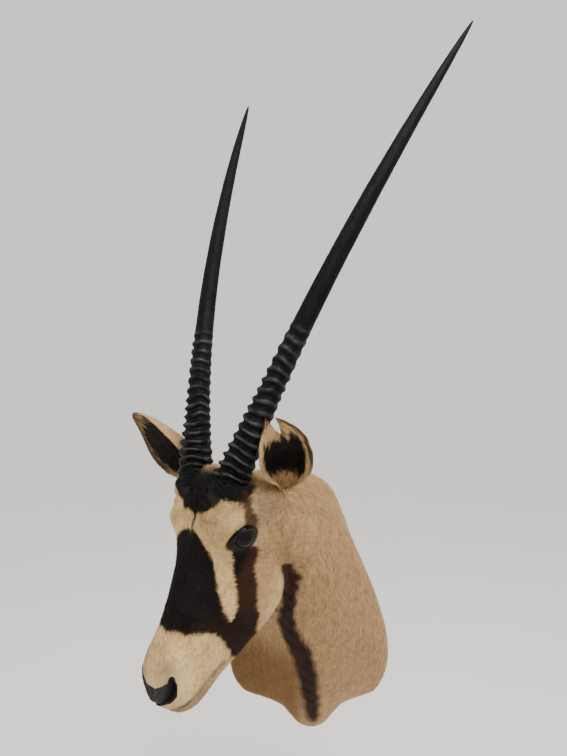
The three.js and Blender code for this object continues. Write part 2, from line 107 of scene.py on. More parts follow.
class Finish:
    """A material, built from one Principled shader and the nodes that feed it."""

    def __init__(self, name, **fixed):
        self.material = bpy.data.materials.new(name)
        self.material.use_nodes = True
        self.tree = self.material.node_tree
        self.shader = self.tree.nodes["Principled BSDF"]
        for socket, value in fixed.items():
            self.shader.inputs[socket.replace("_", " ")].default_value = value

    def node(self, kind, settings=None, inputs=None, output=0):
        """A node of this kind: its settings first, then what its sockets hold."""
        made = self.tree.nodes.new(kind)
        for name, value in (settings or {}).items():
            setattr(made, name, value)
        for name, value in (inputs or {}).items():
            self.plug(made.inputs[name], value)
        return Value(self, made.outputs[output])

    def plug(self, socket, value):
        """Link a value to a socket, or set the socket to a plain number or colour."""
        if isinstance(value, Value):
            self.tree.links.new(value.socket, socket)
        elif isinstance(value, tuple) and len(value) == 3 and len(socket.default_value) == 4:
            socket.default_value = (*value, 1)
        else:
            socket.default_value = value

    def feed(self, **sockets):
        """Link values to the shader's own sockets."""
        for name, value in sockets.items():
            self.plug(self.shader.inputs[name.replace("_", " ")], value)

    def place(self):
        """The object's own coordinates."""
        return self.node("ShaderNodeTexCoord", output="Object")

    def stretched(self, scale):
        """The object's own coordinates, scaled along each axis."""
        return self.node("ShaderNodeMapping", {}, {"Vector": self.place(), "Scale": scale})

    def noise(self, scale, detail=2.0, at=None):
        """Soft noise from 0 to 1, on the object's own coordinates unless others are given."""
        inputs = {"Vector": at or self.place(), "Scale": scale, "Detail": detail}
        return self.node("ShaderNodeTexNoise", {}, inputs)

    def attribute(self, name):
        """The number that each vertex holds under this name."""
        return self.node("ShaderNodeAttribute", {"attribute_name": name}, output="Fac")

    def mix(self, share, first, second, blend="MIX"):
        """Two colours mixed: the first where share is 0, the second where it is 1."""
        settings = {"data_type": "RGBA", "blend_type": blend}
        return self.node("ShaderNodeMix", settings, {0: share, 6: first, 7: second}, output=2)

    def bump(self, height, distance, strength=1.0):
        """Feed a height to the shader's normal; distance is the relief in metres."""
        inputs = {"Height": height, "Distance": distance, "Strength": strength}
        self.feed(Normal=self.node("ShaderNodeBump", {}, inputs))


def colour(red, green, blue):
    """A colour given as it looks on a screen, from 0 to 255, made linear."""
    share = np.array([red, green, blue]) / 255
    return tuple(np.where(share <= 0.04045, share / 12.92, ((share + 0.055) / 1.055) ** 2.4).tolist())


# %% [markdown]
# ## Floor and light
# A studio for a thing that hangs needs little: a wide pale floor well below
# it, a pale surround, and large soft lights. The main light stands high in
# front, as ceiling lights do, with a weaker one from the left so that the
# dark markings keep some shape.
# %% Floor and light
FLOOR_HEIGHT = -0.62
FLOOR_RADIUS = 9.0
FLOOR_SIDES = 64
FLOOR_GLOW = 0.24
SURROUND_COLOUR = (0.80, 0.79, 0.77)
SURROUND_STRENGTH = 1.25

turns = np.linspace(0, 2 * np.pi, FLOOR_SIDES, endpoint=False)
rim = np.stack([np.cos(turns), np.sin(turns)], 1) * FLOOR_RADIUS
floor_mesh = bpy.data.meshes.new("floor")
floor_mesh.from_pydata([(x, y, FLOOR_HEIGHT) for x, y in rim.tolist()], [], [range(FLOOR_SIDES)])
floor = bpy.data.objects.new("floor", floor_mesh)
bpy.context.scene.collection.objects.link(floor)
floor_finish = Finish("pale_floor", Roughness=0.9, Emission_Strength=FLOOR_GLOW)
cloudy = floor_finish.noise(1.5)
floor_finish.feed(Base_Color=floor_finish.mix(cloudy, (0.76, 0.75, 0.73), (0.80, 0.79, 0.77)))
floor_finish.feed(Emission_Color=floor_finish.mix(cloudy, (0.80, 0.79, 0.77), (0.82, 0.81, 0.79)))
floor_mesh.materials.append(floor_finish.material)

world = bpy.data.worlds.new("surround")
bpy.context.scene.world = world
world.use_nodes = True
background = world.node_tree.nodes["Background"]
background.inputs["Color"].default_value = (*SURROUND_COLOUR, 1)
background.inputs["Strength"].default_value = SURROUND_STRENGTH


def soft_light(name, at, towards, size, power):
    """A square light of this size in metres, turned to face a point."""
    light = bpy.data.lights.new(name, "AREA")
    light.shape, light.size, light.energy = "SQUARE", size, power
    lamp = bpy.data.objects.new(name, light)
    lamp.location = at
    facing = np.subtract(towards, at)
    flat = np.hypot(facing[0], facing[1])
    lamp.rotation_euler = (np.arctan2(flat, -facing[2]), 0, np.arctan2(-facing[0], facing[1]))
    bpy.context.scene.collection.objects.link(lamp)


soft_light("ceiling", (0.5, -1.3, 2.3), (-0.05, -0.25, 0.3), size=1.5, power=80)
soft_light("side", (-2.1, -1.5, 0.9), (-0.05, -0.3, 0.2), size=1.2, power=8)

# %% [markdown]
# ## Surfaces from formulas
# Nearly every piece here is a grid: two numbers, one along and one around,
# go through a formula that gives a point. numpy works out all the points at
# once. The helpers below read smooth curves through a few rows of numbers,
# join a grid's points with faces, and put points and faces into a mesh.
# Lengths are millimetres until the mesh is made.
# %% Curves and grids
MM = 0.001


def between(rows, share):
    """Rows of numbers read off a smooth curve, share running from 0 to 1.

    Each stretch is the cubic whose slope at a row is half the step between
    that row's neighbours.
    """
    rows = np.asarray(rows, float)
    last = len(rows) - 1
    padded = np.vstack([2 * rows[0] - rows[1], rows, 2 * rows[-1] - rows[-2]])
    place = np.asarray(share, float) * last
    start = np.clip(np.floor(place).astype(int), 0, last - 1)
    t = (place - start)[..., None]
    p0, p1, p2, p3 = (padded[start + i] for i in range(4))
    square = 2 * p0 - 5 * p1 + 4 * p2 - p3
    cube = -p0 + 3 * p1 - 3 * p2 + p3
    return 0.5 * (2 * p1 + (p2 - p0) * t + square * t * t + cube * t**3)


def squared(value, squareness):
    """A sine or cosine pushed towards a square: its power 2 / squareness, sign kept."""
    return np.sign(value) * np.abs(value) ** (2 / squareness)


def smooth(value, low=0.0, high=1.0):
    """0 below low, 1 above high, and a smooth run between them."""
    share = np.clip((value - low) / (high - low), 0, 1)
    return share * share * (3 - 2 * share)


def unit(vectors):
    """Vectors made one long, along the last axis."""
    length = np.linalg.norm(vectors, axis=-1, keepdims=True)
    return vectors / np.maximum(length, 1e-9)


def dot(a, b):
    """The dot product along the last axis, kept as an axis."""
    return np.sum(a * b, axis=-1, keepdims=True)


def grid_of(along, columns):
    """Two numbers for each point of a grid: a value along it and an angle round it."""
    return np.meshgrid(along, np.arange(columns) * 2 * np.pi / columns, indexing="ij")


def tube_faces(rows, columns):
    """Quads of a grid whose columns run round, and a fan of triangles at each end.

    The two points that close the ends follow the grid's own points.
    """
    row, column = np.meshgrid(np.arange(rows - 1), np.arange(columns), indexing="ij")
    a = row * columns + column
    b = row * columns + (column + 1) % columns
    quads = np.stack([a, b, b + columns, a + columns], -1).reshape(-1, 4)
    side = np.arange(columns)
    after = (side + 1) % columns
    first, last = rows * columns, (rows - 1) * columns
    start = np.stack([np.full(columns, first), after, side], 1)
    end = np.stack([np.full(columns, first + 1), last + side, last + after], 1)
    return quads, np.vstack([start, end])


def make_piece(name, points, *face_groups):
    """An object at the origin, from points in millimetres and arrays of faces."""
    sizes = np.concatenate([np.full(len(group), group.shape[1]) for group in face_groups])
    mesh = bpy.data.meshes.new(name)
    mesh.vertices.add(len(points))
    mesh.vertices.foreach_set("co", (points * MM).astype(np.float32).ravel())
    corners = np.concatenate([group.ravel() for group in face_groups]).astype(np.int32)
    mesh.loops.add(len(corners))
    mesh.loops.foreach_set("vertex_index", corners)
    mesh.polygons.add(len(sizes))
    mesh.polygons.foreach_set("loop_start", (np.cumsum(sizes) - sizes).astype(np.int32))
    mesh.update(calc_edges=True)
    mesh.shade_smooth()
    piece = bpy.data.objects.new(name, mesh)
    bpy.context.scene.collection.objects.link(piece)
    return piece


def make_closed(name, points, *face_groups):
    """A closed piece whose faces are turned outwards.

    The signed volume of the cones from the middle to each face tells whether
    the faces point in, and if so each is reversed.
    """
    fans = np.vstack([group[:, [0, i, i + 1]] for group in face_groups for i in range(1, group.shape[1] - 1)])
    a, b, c = (points[fans[:, i]] - points.mean(0) for i in range(3))
    if np.sum(a * np.cross(b, c)) < 0:
        face_groups = [group[:, ::-1] for group in face_groups]
    return make_piece(name, points, *face_groups)


def add_numbers(piece, name, values):
    """A number for each vertex, which a material reads by name."""
    piece.data.attributes.new(name, "FLOAT", "POINT").data.foreach_set("value", values.astype(np.float32))


def numbers_of(piece, name):
    """The numbers of a piece's vertices, read back."""
    values = np.empty(len(piece.data.vertices), np.float32)
    piece.data.attributes[name].data.foreach_get("value", values)
    return values.astype(float)


def set_points(piece, points):
    """Move a piece's vertices to points in millimetres."""
    piece.data.vertices.foreach_set("co", (points * MM).astype(np.float32).ravel())
    piece.data.update()


def vertices_of(piece):
    """A mesh's points in millimetres, and the directions in which they face."""
    mesh = piece.data
    size = 3 * len(mesh.vertices)
    points, normals = np.empty(size, np.float32), np.empty(size, np.float32)
    mesh.vertices.foreach_get("co", points)
    mesh.vertex_normals.foreach_get("vector", normals)
    return points.reshape(-1, 3).astype(float) / MM, normals.reshape(-1, 3).astype(float)


# %% [markdown]
# ## Where the head is
# The head turns 47 degrees to the animal's right and hangs nose down. It is
# far easier to shape in a frame of its own: x runs from between the eyes to
# the nose, y to the animal's left and z out of the forehead.
# %% The head's own frame
HEAD_AT = np.array([-153.0, -390.5, 249.0])
HEAD_TURN = 47
HEAD_DROP = 62
# The sign of y on each side of the animal
SIDES = {"left": 1, "right": -1}

turn, drop = np.radians(-90 - HEAD_TURN), np.radians(HEAD_DROP)
HEAD_AXES = np.array([
    [np.cos(turn) * np.cos(drop), np.sin(turn) * np.cos(drop), -np.sin(drop)],
    [-np.sin(turn), np.cos(turn), 0],
    [np.cos(turn) * np.sin(drop), np.sin(turn) * np.sin(drop), np.cos(drop)],
])


def from_head(points):
    """Points of the head's frame moved to the mount's frame."""
    return HEAD_AT + points @ HEAD_AXES


def to_head(points):
    """Points of the mount's frame moved to the head's frame."""
    return (points - HEAD_AT) @ HEAD_AXES.T


# %% [markdown]
# ## The skin
# The real skin is one sewn sheet. Modelling it as one surface from nose to
# wall would force one grid over two very different forms, so the head and
# the neck are two closed tubes of sections, and a voxel remesh melts them
# into a single skin, which a little smoothing then relaxes along the joint.
# %% Head sections
# [x, top z, bottom z, half width, z of the widest level, squareness above it, below it]
HEAD_SECTIONS = [
    [-84, 12, -58, 42, -22, 2, 2],
    [-78, 26, -80, 54, -18, 2, 2],
    [-64, 37, -102, 62, -12, 2.3, 2],
    [-42, 40, -120, 66, -4, 2.8, 2],
    [-18, 41, -132, 68, 2, 3.1, 2.1],
    [8, 40, -141, 66, 0, 3, 2.2],
    [34, 36, -146, 59, -24, 2.4, 2.4],
    [62, 31, -146, 56, -54, 2.1, 2.5],
    [92, 26, -136, 52, -58, 2.1, 2.5],
    [124, 21, -120, 47, -52, 2.2, 2.4],
    [154, 16, -103, 45, -44, 2.3, 2.3],
    [180, 11, -87, 44, -37, 2.4, 2.2],
    [202, 5, -77, 43, -34, 2.3, 2.1],
    [219, -2, -67, 39, -32, 2.2, 2.1],
    [230, -10, -56, 29, -32, 2.1, 2],
    [235, -20, -50, 15, -34, 2, 2],
]
# Swellings and hollows of the head: [x, y, z, reach, height], each with its mirror
HEAD_SWELLINGS = [
    [4, 72, 34, 24, 18],
    [6, 64, -24, 18, 5],
    [0, 70, 2, 17, -10],
    [-54, 38, 50, 30, 25],
    [-74, 58, -26, 27, 16],
    [42, 52, -90, 44, 3],
    [207, 32, -12, 17, 4],
    [186, 28, 6, 27, 5],
    [-46, 56, 44, 18, 9],
    [112, 42, -8, 30, -3],
]


def head_point(share, angle):
    """A point of the head, in its frame, share of the way to the nose.

    Each section is an oval with its own squareness above and below its widest
    level, and near each swelling it moves outwards by a bell curve.
    """
    rows = between(HEAD_SECTIONS, share)
    x, top, bottom, half, level, above, below = np.moveaxis(rows, -1, 0)
    upper = np.cos(angle) > 0
    squareness = np.where(upper, above, below)
    height = np.where(upper, top - level, level - bottom)
    y = half * squared(np.sin(angle), squareness)
    z = level + height * squared(np.cos(angle), squareness)
    point = np.stack([x, y, z], -1)
    outward = unit(np.stack([0 * x, y, z - level], -1))
    mirrored = np.stack([x, np.abs(y), z], -1)
    swelling = 0
    for *middle, reach, tall in HEAD_SWELLINGS:
        gap = np.linalg.norm(mirrored - middle, axis=-1) / reach
        swelling = swelling + tall * np.exp(-gap * gap)
    return point + outward * swelling[..., None]


# %% Neck sections
WALL_GAP = 1.5
# From the wall to the head: [nape, throat, half width, share of the height at
# the widest level, degrees the section turns, squareness above]
NECK_SECTIONS = [
    [0, -WALL_GAP, 252, 0, -WALL_GAP, -267, 156, 0.34, 0, 1.7],
    [-4, -48, 264, 0, -40, -246, 154, 0.35, 2, 1.7],
    [-12, -98, 277, 0, -92, -204, 144, 0.37, 5, 1.7],
    [-26, -155, 291, -3, -155, -135, 125, 0.4, 10, 1.7],
    [-46, -215, 304, -16, -216, -48, 100, 0.43, 18, 1.75],
    [-70, -278, 315, -40, -266, 40, 82, 0.45, 28, 1.8],
    [-98, -335, 321, -66, -302, 108, 73, 0.46, 38, 1.8],
    [-122, -364, 324, -84, -326, 156, 70, 0.5, 45, 2],
    [-134, -386, 308, -100, -348, 186, 54, 0.5, 47, 2],
]
KEEL_FADE = (0.12, 0.62)
# Where the breast is fuller than its sections: [x, y, z, reach, height]
BREAST_SWELLINGS = [[-142, -62, -146, 62, 14], [118, -60, -160, 40, 3]]
# The skin's edge on the wall, one side from top to bottom: [x, z]
WALL_EDGE = [
    [0, 252], [42, 228], [70, 165], [92, 95], [117, 28], [141, -32], [156, -92],
    [154, -146], [131, -189], [100, -205], [64, -221], [43, -242], [23, -263], [0, -269],
]
EDGE_WIDEST = 6


def wall_edge(angle):
    """The skin's edge on the wall, at an angle that runs round from the top.

    Both sides follow one another in a list that starts and ends two rows past
    the top and bottom, so that the curve is round there.
    """
    side = np.array(WALL_EDGE, float)
    other = side[::-1] * [-1, 1]
    whole = np.vstack([side, other[1:]])
    rows = len(whole)
    looped = np.vstack([whole[-3:-1], whole, whole[1:3]])
    turned = np.mod(angle, 2 * np.pi) / (2 * np.pi)
    return between(looped, (turned * (rows - 1) + 2) / (rows + 3))


def neck_point(share, angle):
    """A point of the neck, share of the way from the wall to the head.

    Near the head a section is an oval between nape and throat. At the wall it
    has the keeled outline of the skin's edge, and the one fades to the other.
    """
    rows = between(NECK_SECTIONS, share)
    nape, throat = rows[..., 0:3], rows[..., 3:6]
    half, level, turned, squareness = (rows[..., i, None] for i in range(6, 10))
    centre = throat + (nape - throat) * level
    turned = np.radians(turned)
    sideways = np.concatenate([np.cos(turned), -np.sin(turned), 0 * turned], -1)
    cosine, sine = np.cos(angle)[..., None], np.sin(angle)[..., None]
    upper = cosine > 0
    squareness = np.where(upper, squareness, 2)
    height = np.abs(squared(cosine, squareness))
    oval = centre + (np.where(upper, nape, throat) - centre) * height
    oval = oval + sideways * half * squared(sine, squareness)
    edge = wall_edge(angle)
    widest, widest_level = WALL_EDGE[EDGE_WIDEST]
    top, bottom = WALL_EDGE[0][1], WALL_EDGE[-1][1]
    above = edge[..., 1:] > widest_level
    rise = (edge[..., 1:] - widest_level) / np.where(above, top - widest_level, bottom - widest_level)
    keeled = centre + (np.where(above, nape, throat) - centre) * rise
    keeled = keeled + sideways * half * edge[..., :1] / widest
    point = keeled + (oval - keeled) * smooth(share, *KEEL_FADE)[..., None]
    for *middle, reach, tall in BREAST_SWELLINGS:
        gap = np.linalg.norm(point - middle, axis=-1, keepdims=True) / reach
        point = point + unit((point - centre) * [1, 0, 1]) * tall * np.exp(-gap * gap)
    return point


# %% Melt head and neck into one skin
SKIN_VOXEL = 3.0
RELAX_ROUNDS = 4


def tube(point_at, rows, columns):
    """A closed tube: the points of a formula on a grid, and one to close each end."""
    grid = point_at(*grid_of(np.linspace(0, 1, rows), columns))
    ends = [grid[0].mean(0), grid[-1].mean(0)]
    return np.vstack([grid.reshape(-1, 3), ends]), tube_faces(rows, columns)


def melted(name, tubes, voxel, rounds):
    """Closed tubes joined, remeshed in cubes of one size and relaxed."""
    points, quads, fans, count = [], [], [], 0
    for tube_points, (tube_quads, tube_fans) in tubes:
        points.append(tube_points)
        quads.append(tube_quads + count)
        fans.append(tube_fans + count)
        count += len(tube_points)
    piece = make_closed(name, np.vstack(points), np.vstack(quads), np.vstack(fans))
    remesh = piece.modifiers.new("remesh", "REMESH")
    remesh.mode, remesh.voxel_size = "VOXEL", voxel * MM
    relax = piece.modifiers.new("relax", "SMOOTH")
    relax.factor, relax.iterations = 0.5, rounds
    graph = bpy.context.evaluated_depsgraph_get()
    mesh = bpy.data.meshes.new_from_object(piece.evaluated_get(graph))
    piece.modifiers.clear()
    old, piece.data = piece.data, mesh
    bpy.data.meshes.remove(old)
    mesh.name = name
    return piece


head_tube, head_faces = tube(head_point, 220, 200)
neck_tube, neck_faces = tube(neck_point, 160, 200)
skin = melted(
    "skin", [(from_head(head_tube), head_faces), (neck_tube, neck_faces)], SKIN_VOXEL, RELAX_ROUNDS,
)
print("The skin has", len(skin.data.polygons), "faces")

# %% [markdown]
# ## Places on the skin
# Folds, grooves and markings follow lines drawn on the face. Such a line is a
# few points in the head's frame, and all that a formula needs is how far
# each point of the surface is from it. A line on the head has its twin on the
# other side, so the distance is measured with y taken as positive.
# %% Distance to a line
def line_distance(points, line):
    """The distance to a broken line, and the place of the nearest spot along it.

    Each stretch is tried in turn: the point is dropped onto it, kept between
    its two ends, and the shortest distance of all stretches is the answer.
    """
    line = np.asarray(line, float)
    nearest = np.full(len(points), np.inf)
    place = np.zeros(len(points))
    for index, (start, end) in enumerate(zip(line[:-1], line[1:])):
        run = end - start
        share = np.clip((points - start) @ run / (run @ run), 0, 1)
        gap = np.linalg.norm(points - start - share[:, None] * run, axis=1)
        closer = gap < nearest
        nearest = np.where(closer, gap, nearest)
        place = np.where(closer, index + share, place)
    return nearest, place


def one_side(points):
    """Points of the head's frame with both sides laid on the left one."""
    return points * [1, 0, 1] + np.abs(points * [0, 1, 0])


def ripple(points, size, seed, waves=14):
    """Smooth unevenness about 1 high: a sum of sine waves in random directions."""
    rng = np.random.default_rng(seed)
    directions = unit(rng.normal(size=(waves, points.shape[-1])))
    directions *= rng.uniform(0.6, 1.5, (waves, 1)) * 2 * np.pi / size
    return np.sin(points @ directions.T + rng.uniform(0, 2 * np.pi, waves)).sum(-1) / np.sqrt(waves)


# %% Carve nostrils and mouth
# [x, y, z, half width, depth] along the comma of a nostril
NOSTRIL = np.array([
    [194, 33, 2, 1.6, 2], [199, 35.5, -1, 3, 5], [205, 35.5, -4, 4.2, 8], [212, 33.5, -7, 4.6, 9],
    [219, 27.5, -9, 4.2, 7], [225, 19, -11, 3.2, 4], [230, 10, -13, 2, 2],
])
MOUTH = [
    [233, 0, -27], [230, 17, -25], [223, 34, -26], [213, 42, -35], [204, 44, -41], [195, 45, -44],
    [189, 45, -49], [175, 44, -56], [163, 43, -65],
]
MOUTH_DEPTH, MOUTH_WIDTH = 2.6, 2.2
NOSE_CLEFT = [[214, 0, 0], [222, 0, -4], [230, 0, -14], [233, 0, -26]]


def nostril_depth(points, extra=0.0):
    """How deep a nostril is cut at each point: steep sides round a comma-shaped line."""
    gap, place = line_distance(one_side(points), NOSTRIL[:, :3])
    width = np.interp(place, range(len(NOSTRIL)), NOSTRIL[:, 3]) + extra
    depth = np.interp(place, range(len(NOSTRIL)), NOSTRIL[:, 4]) + extra
    return depth * smooth(-gap, -1.35 * width, -0.5 * width)


def muzzle_relief(points):
    """The mouth's groove, the cleft under the nose and the wings of the nostrils."""
    beside = one_side(points)
    mouth, _ = line_distance(beside, MOUTH)
    cleft, _ = line_distance(beside, NOSE_CLEFT)
    wing, place = line_distance(beside, NOSTRIL[:, :3])
    width = np.interp(place, range(len(NOSTRIL)), NOSTRIL[:, 3])
    relief = 1.6 * np.exp(-(((wing - 1.9 * width) / 2.6) ** 2))
    relief -= MOUTH_DEPTH * np.exp(-((mouth / MOUTH_WIDTH) ** 2))
    return relief - 1.2 * np.exp(-((cleft / 1.6) ** 2))


skin_points, skin_facing = vertices_of(skin)
on_head = to_head(skin_points)
carved = muzzle_relief(on_head) - nostril_depth(on_head, 1.5)

# %% [markdown]
# ## The back of the mount
# The board is let into the form's back. The skin's rear is flattened a little
# way off the wall, and inside an even border it is sunk by more than the
# board's thickness. How far a point is inside the edge is read along a line
# from the middle, where a table gives the edge's reach for each bearing.
# %% Clear room for the board
NEAR_WALL = -3.2
EDGE_MIDDLE = -60
EDGE_STEPS = 721
BOARD_INSET = 11
BOARD_THICK = 18
POCKET_INSIDE = 4
POCKET_DEPTH = BOARD_THICK + 1.2
POCKET_BORDER = 1.25 * (BOARD_INSET + POCKET_INSIDE)


def inside_edge(points):
    """How far inside the skin's edge on the wall points are, seen from its middle."""
    outline = wall_edge(np.linspace(0, 2 * np.pi, EDGE_STEPS))
    bearing = np.arctan2(outline[:, 0], outline[:, 1] - EDGE_MIDDLE)
    order = np.argsort(bearing)
    reach = np.hypot(outline[:, 0], outline[:, 1] - EDGE_MIDDLE)[order]
    own_bearing = np.arctan2(points[:, 0], points[:, 2] - EDGE_MIDDLE)
    own_reach = np.hypot(points[:, 0], points[:, 2] - EDGE_MIDDLE)
    return np.interp(own_bearing, bearing[order], reach) - own_reach


near_wall = skin_points[:, 1] > NEAR_WALL
skin_points[near_wall, 1] = -WALL_GAP
pocket = near_wall & (inside_edge(skin_points) > POCKET_BORDER)
skin_points[pocket, 1] = -POCKET_DEPTH
skin_points += skin_facing * (carved * ~near_wall)[:, None]
set_points(skin, skin_points)
print("The board's pocket takes", int(pocket.sum()), "points")

# %% [markdown]
# ## Ears
# An ear is a leaf of gristle rolled into a cup: nearly a tube at its root and
# almost open at its tip. The back of the ear follows a curve from root over
# knee to tip, and across that curve the leaf is an arc. The left ear's tip is
# torn, so its columns end along a V.
# %% Ears
# In the head's frame: the curve of the ear's back, its half width, the way it
# opens, its tear as the V's depth, half width and place across, and how far
# its black hollow reaches along and across, as shares
EARS = {
    "left": {
        "root": [-88, 69, -32], "knee": [-124, 91, -8], "tip": [-152, 86, 53], "half_width": 51.5,
        "open": [0.26, 0.72, 0.6], "torn": (30, 8.5, 4), "hollow": (0.74, 0.76),
    },
    "right": {
        "root": [-72, -62, -18], "knee": [-116, -128, 26], "tip": [-127, -212, 84], "half_width": 58,
        "open": [0.82, 0.3, 0.42], "torn": None, "hollow": (0.9, 0.84),
    },
}
EAR_THICK = 4.6
EAR_ROWS, EAR_COLUMNS = 90, 96
# Along the ear: [share of the half width, degrees of roll to each side]
EAR_PROFILE = [
    [0.46, 165], [0.67, 130], [0.87, 98], [0.97, 84], [0.95, 76], [0.82, 66], [0.52, 52], [0.12, 40],
]
EAR_LENGTH = 110


def ear_point(ear, share, across, offset):
    """A point of an ear: share along it, across from -1 to 1, offset towards its back.

    The place along is on a curve through root, knee and tip, and from there
    the point lies on an arc whose half angle says how far the leaf is rolled.
    """
    root, knee, tip, facing = (np.array(ear[name], float) for name in ("root", "knee", "tip", "open"))
    s = share[..., None]
    centre = (1 - s) ** 2 * root + 2 * s * (1 - s) * knee + s**2 * tip
    run = unit(2 * (1 - s) * (knee - root) + 2 * s * (tip - knee))
    facing = unit(facing - run * dot(run, facing))
    aside = np.cross(run, facing)
    width, rolled = np.moveaxis(between(EAR_PROFILE, share), -1, 0)
    half_angle = np.radians(rolled)
    radius = ear["half_width"] * width / half_angle
    angle = (half_angle * across)[..., None]
    reach = (radius + offset)[..., None]
    return centre + facing * (radius[..., None] - reach * np.cos(angle)) + aside * reach * np.sin(angle)


def torn_at(ear, across):
    """How far along each column the ear is whole, 1 where it isn't torn.

    The tear is a V whose point lies some way below the tip. Places along a
    column are tried, and the column ends at the lowest that is inside the V.
    """
    if not ear["torn"]:
        return np.ones_like(across)
    depth, half_width, middle = ear["torn"]
    tries = np.linspace(1 - depth / EAR_LENGTH, 1, 120)
    width = between(EAR_PROFILE, tries)[:, 0] * ear["half_width"]
    gap = np.abs(across[..., None] * width - middle)
    inside = gap < half_width * (1 - (1 - tries) * EAR_LENGTH / depth)
    return np.where(inside, tries, 1).min(-1)


def ear_grid(side):
    """Columns that run round the leaf, over its back and inside, as (share, across, offset).

    Its thickness is a flat oval, so the rims are round, and it thins to the tip.
    """
    ear = EARS[side]
    share, turn = grid_of(np.linspace(0, 1, EAR_ROWS), EAR_COLUMNS)
    across = -np.cos(turn)
    thick = EAR_THICK * np.sqrt(np.clip(1 - (np.clip(share - 0.93, 0, 1) / 0.075) ** 2, 0.02, 1))
    offset = thick / 2 * squared(np.sin(turn), 3.6)
    return share * torn_at(ear, across), across, offset


def zipped_faces(rows, columns):
    """A tube's quads, a fan at its start, and its last row zipped flat."""
    quads, fans = tube_faces(rows, columns)
    last = (rows - 1) * columns
    i = np.arange(1, columns // 2 - 1)
    zipped = last + np.stack([i, i + 1, columns - i - 1, columns - i], 1)
    ends = last + np.array([[0, 1, columns - 1], [columns // 2 - 1, columns // 2, columns // 2 + 1]])
    return np.vstack([quads, zipped]), np.vstack([fans[:columns], ends])


ear_pieces = {}
for side in EARS:
    share, across, offset = ear_grid(side)
    grid = ear_point(EARS[side], share, across, offset)
    flat = grid.reshape(-1, 3)
    grid = grid + 0.5 * ripple(flat, 26, 5).reshape(share.shape)[..., None] * unit(grid - grid.mean((0, 1)))
    points = np.vstack([grid.reshape(-1, 3), grid[0].mean(0)])
    quads, fans = zipped_faces(EAR_ROWS, EAR_COLUMNS)
    piece = make_closed(f"ear_{side}", from_head(points), quads, fans)
    for name, values in (("along", share), ("across", across), ("inside", -offset)):
        add_numbers(piece, name, np.append(values.ravel(), 0))
    ear_pieces[side] = piece
print("Each ear has", len(quads), "faces")

# %% [markdown]
# ## Horns
# A gemsbok's horn is a long, nearly straight cone with rings on its lower
# third. A grid along and around takes a radius from three things: a plain
# taper, the rings, and fine striations. The rings wander up and down as they
# go round, so a grid line is moved along the horn by a sine of its angle.
# %% Horns
HORN_LENGTH = 805
HORN_BASE = np.array([-56.4, 39.4, 36.7])
HORN_BEND, HORN_BEND_POWER, HORN_BEND_ASIDE = 13.6, 1.6, -15.8
HORN_LEAN = {"left": 10.3, "right": 15}
HORN_SPLAY = {"left": 14.5, "right": 18}
ROOT_LENGTH = 16
ROOT_RADIUS = 24
FIRST_RING = 6
RINGED_LENGTH = 234
RING_STEP = (12.5, 17.5)
RING_HEIGHT = (6.0, 2.4)
RING_WAVE = 2.2
WAVE_RUN = 23
# Share of the length from the base, and the diameter there
HORN_DIAMETERS = np.array([
    [0, 48.4], [0.04, 45.5], [0.08, 41], [0.12, 37], [0.17, 33.6], [0.24, 31.2],
    [0.32, 29], [0.42, 27], [0.54, 24.8], [0.64, 22], [0.74, 18.8], [0.82, 15.8],
    [0.89, 12.6], [0.95, 8.6], [0.985, 5], [1, 2.4],
])
HORN_ROWS, HORN_COLUMNS = 620, 72
RINGED_ROWS = 430


def horn_path(side, length):
    """Points, headings and the two directions across, at lengths along a horn.

    The horn starts out straight and bends in one plane, most near its base;
    its points are the headings added up in small steps.
    """
    sign = SIDES[side]
    lean, splay = np.radians(HORN_LEAN[side]), np.radians(HORN_SPLAY[side])
    start = np.array([-np.cos(lean) * np.cos(splay), sign * np.sin(splay), np.sin(lean) * np.cos(splay)])
    aside = np.radians(HORN_BEND_ASIDE)
    towards = np.array([0, sign * np.sin(aside), -np.cos(aside)])
    towards = unit(towards - start * (towards @ start))
    across = np.cross(start, towards)

    def heading(at):
        """The way the horn runs at lengths along it."""
        share = np.clip(at / HORN_LENGTH, 0, 1)
        bend = np.radians(HORN_BEND) * (1 - (1 - share) ** HORN_BEND_POWER)
        return start * np.cos(bend)[..., None] + towards * np.sin(bend)[..., None]

    steps = np.linspace(0, HORN_LENGTH, 1601)
    moves = heading((steps[1:] + steps[:-1]) / 2) * np.diff(steps)[:, None]
    stops = HORN_BASE * [1, sign, 1] + np.vstack([np.zeros(3), np.cumsum(moves, 0)])
    inside = np.stack([np.interp(length, steps, stops[:, i]) for i in range(3)], -1)
    point = inside + start * (np.minimum(length, 0))[..., None]
    return point, np.cross(heading(length), across), across


def ring_starts():
    """Where each ring begins: steps that grow slowly up the horn."""
    starts = [FIRST_RING]
    while starts[-1] < RINGED_LENGTH:
        share = starts[-1] / RINGED_LENGTH
        starts.append(starts[-1] + RING_STEP[0] + (RING_STEP[1] - RING_STEP[0]) * share)
    return np.array(starts)


def ridge_at(length):
    """0 in the groove between rings and 1 on a crest, whose ridge is narrower than the groove."""
    starts = ring_starts()
    index = np.clip(np.searchsorted(starts, length) - 1, 0, len(starts) - 2)
    share = np.clip((length - starts[index]) / np.diff(starts)[index], 0, 1)
    ridge = np.interp(share, [0, 0.18, 0.34, 0.46, 0.56, 0.68, 0.84, 1], [0, 0.14, 0.7, 1, 1, 0.68, 0.18, 0])
    return np.where((length < starts[0]) | (length > starts[-1]), 0.38, ridge)


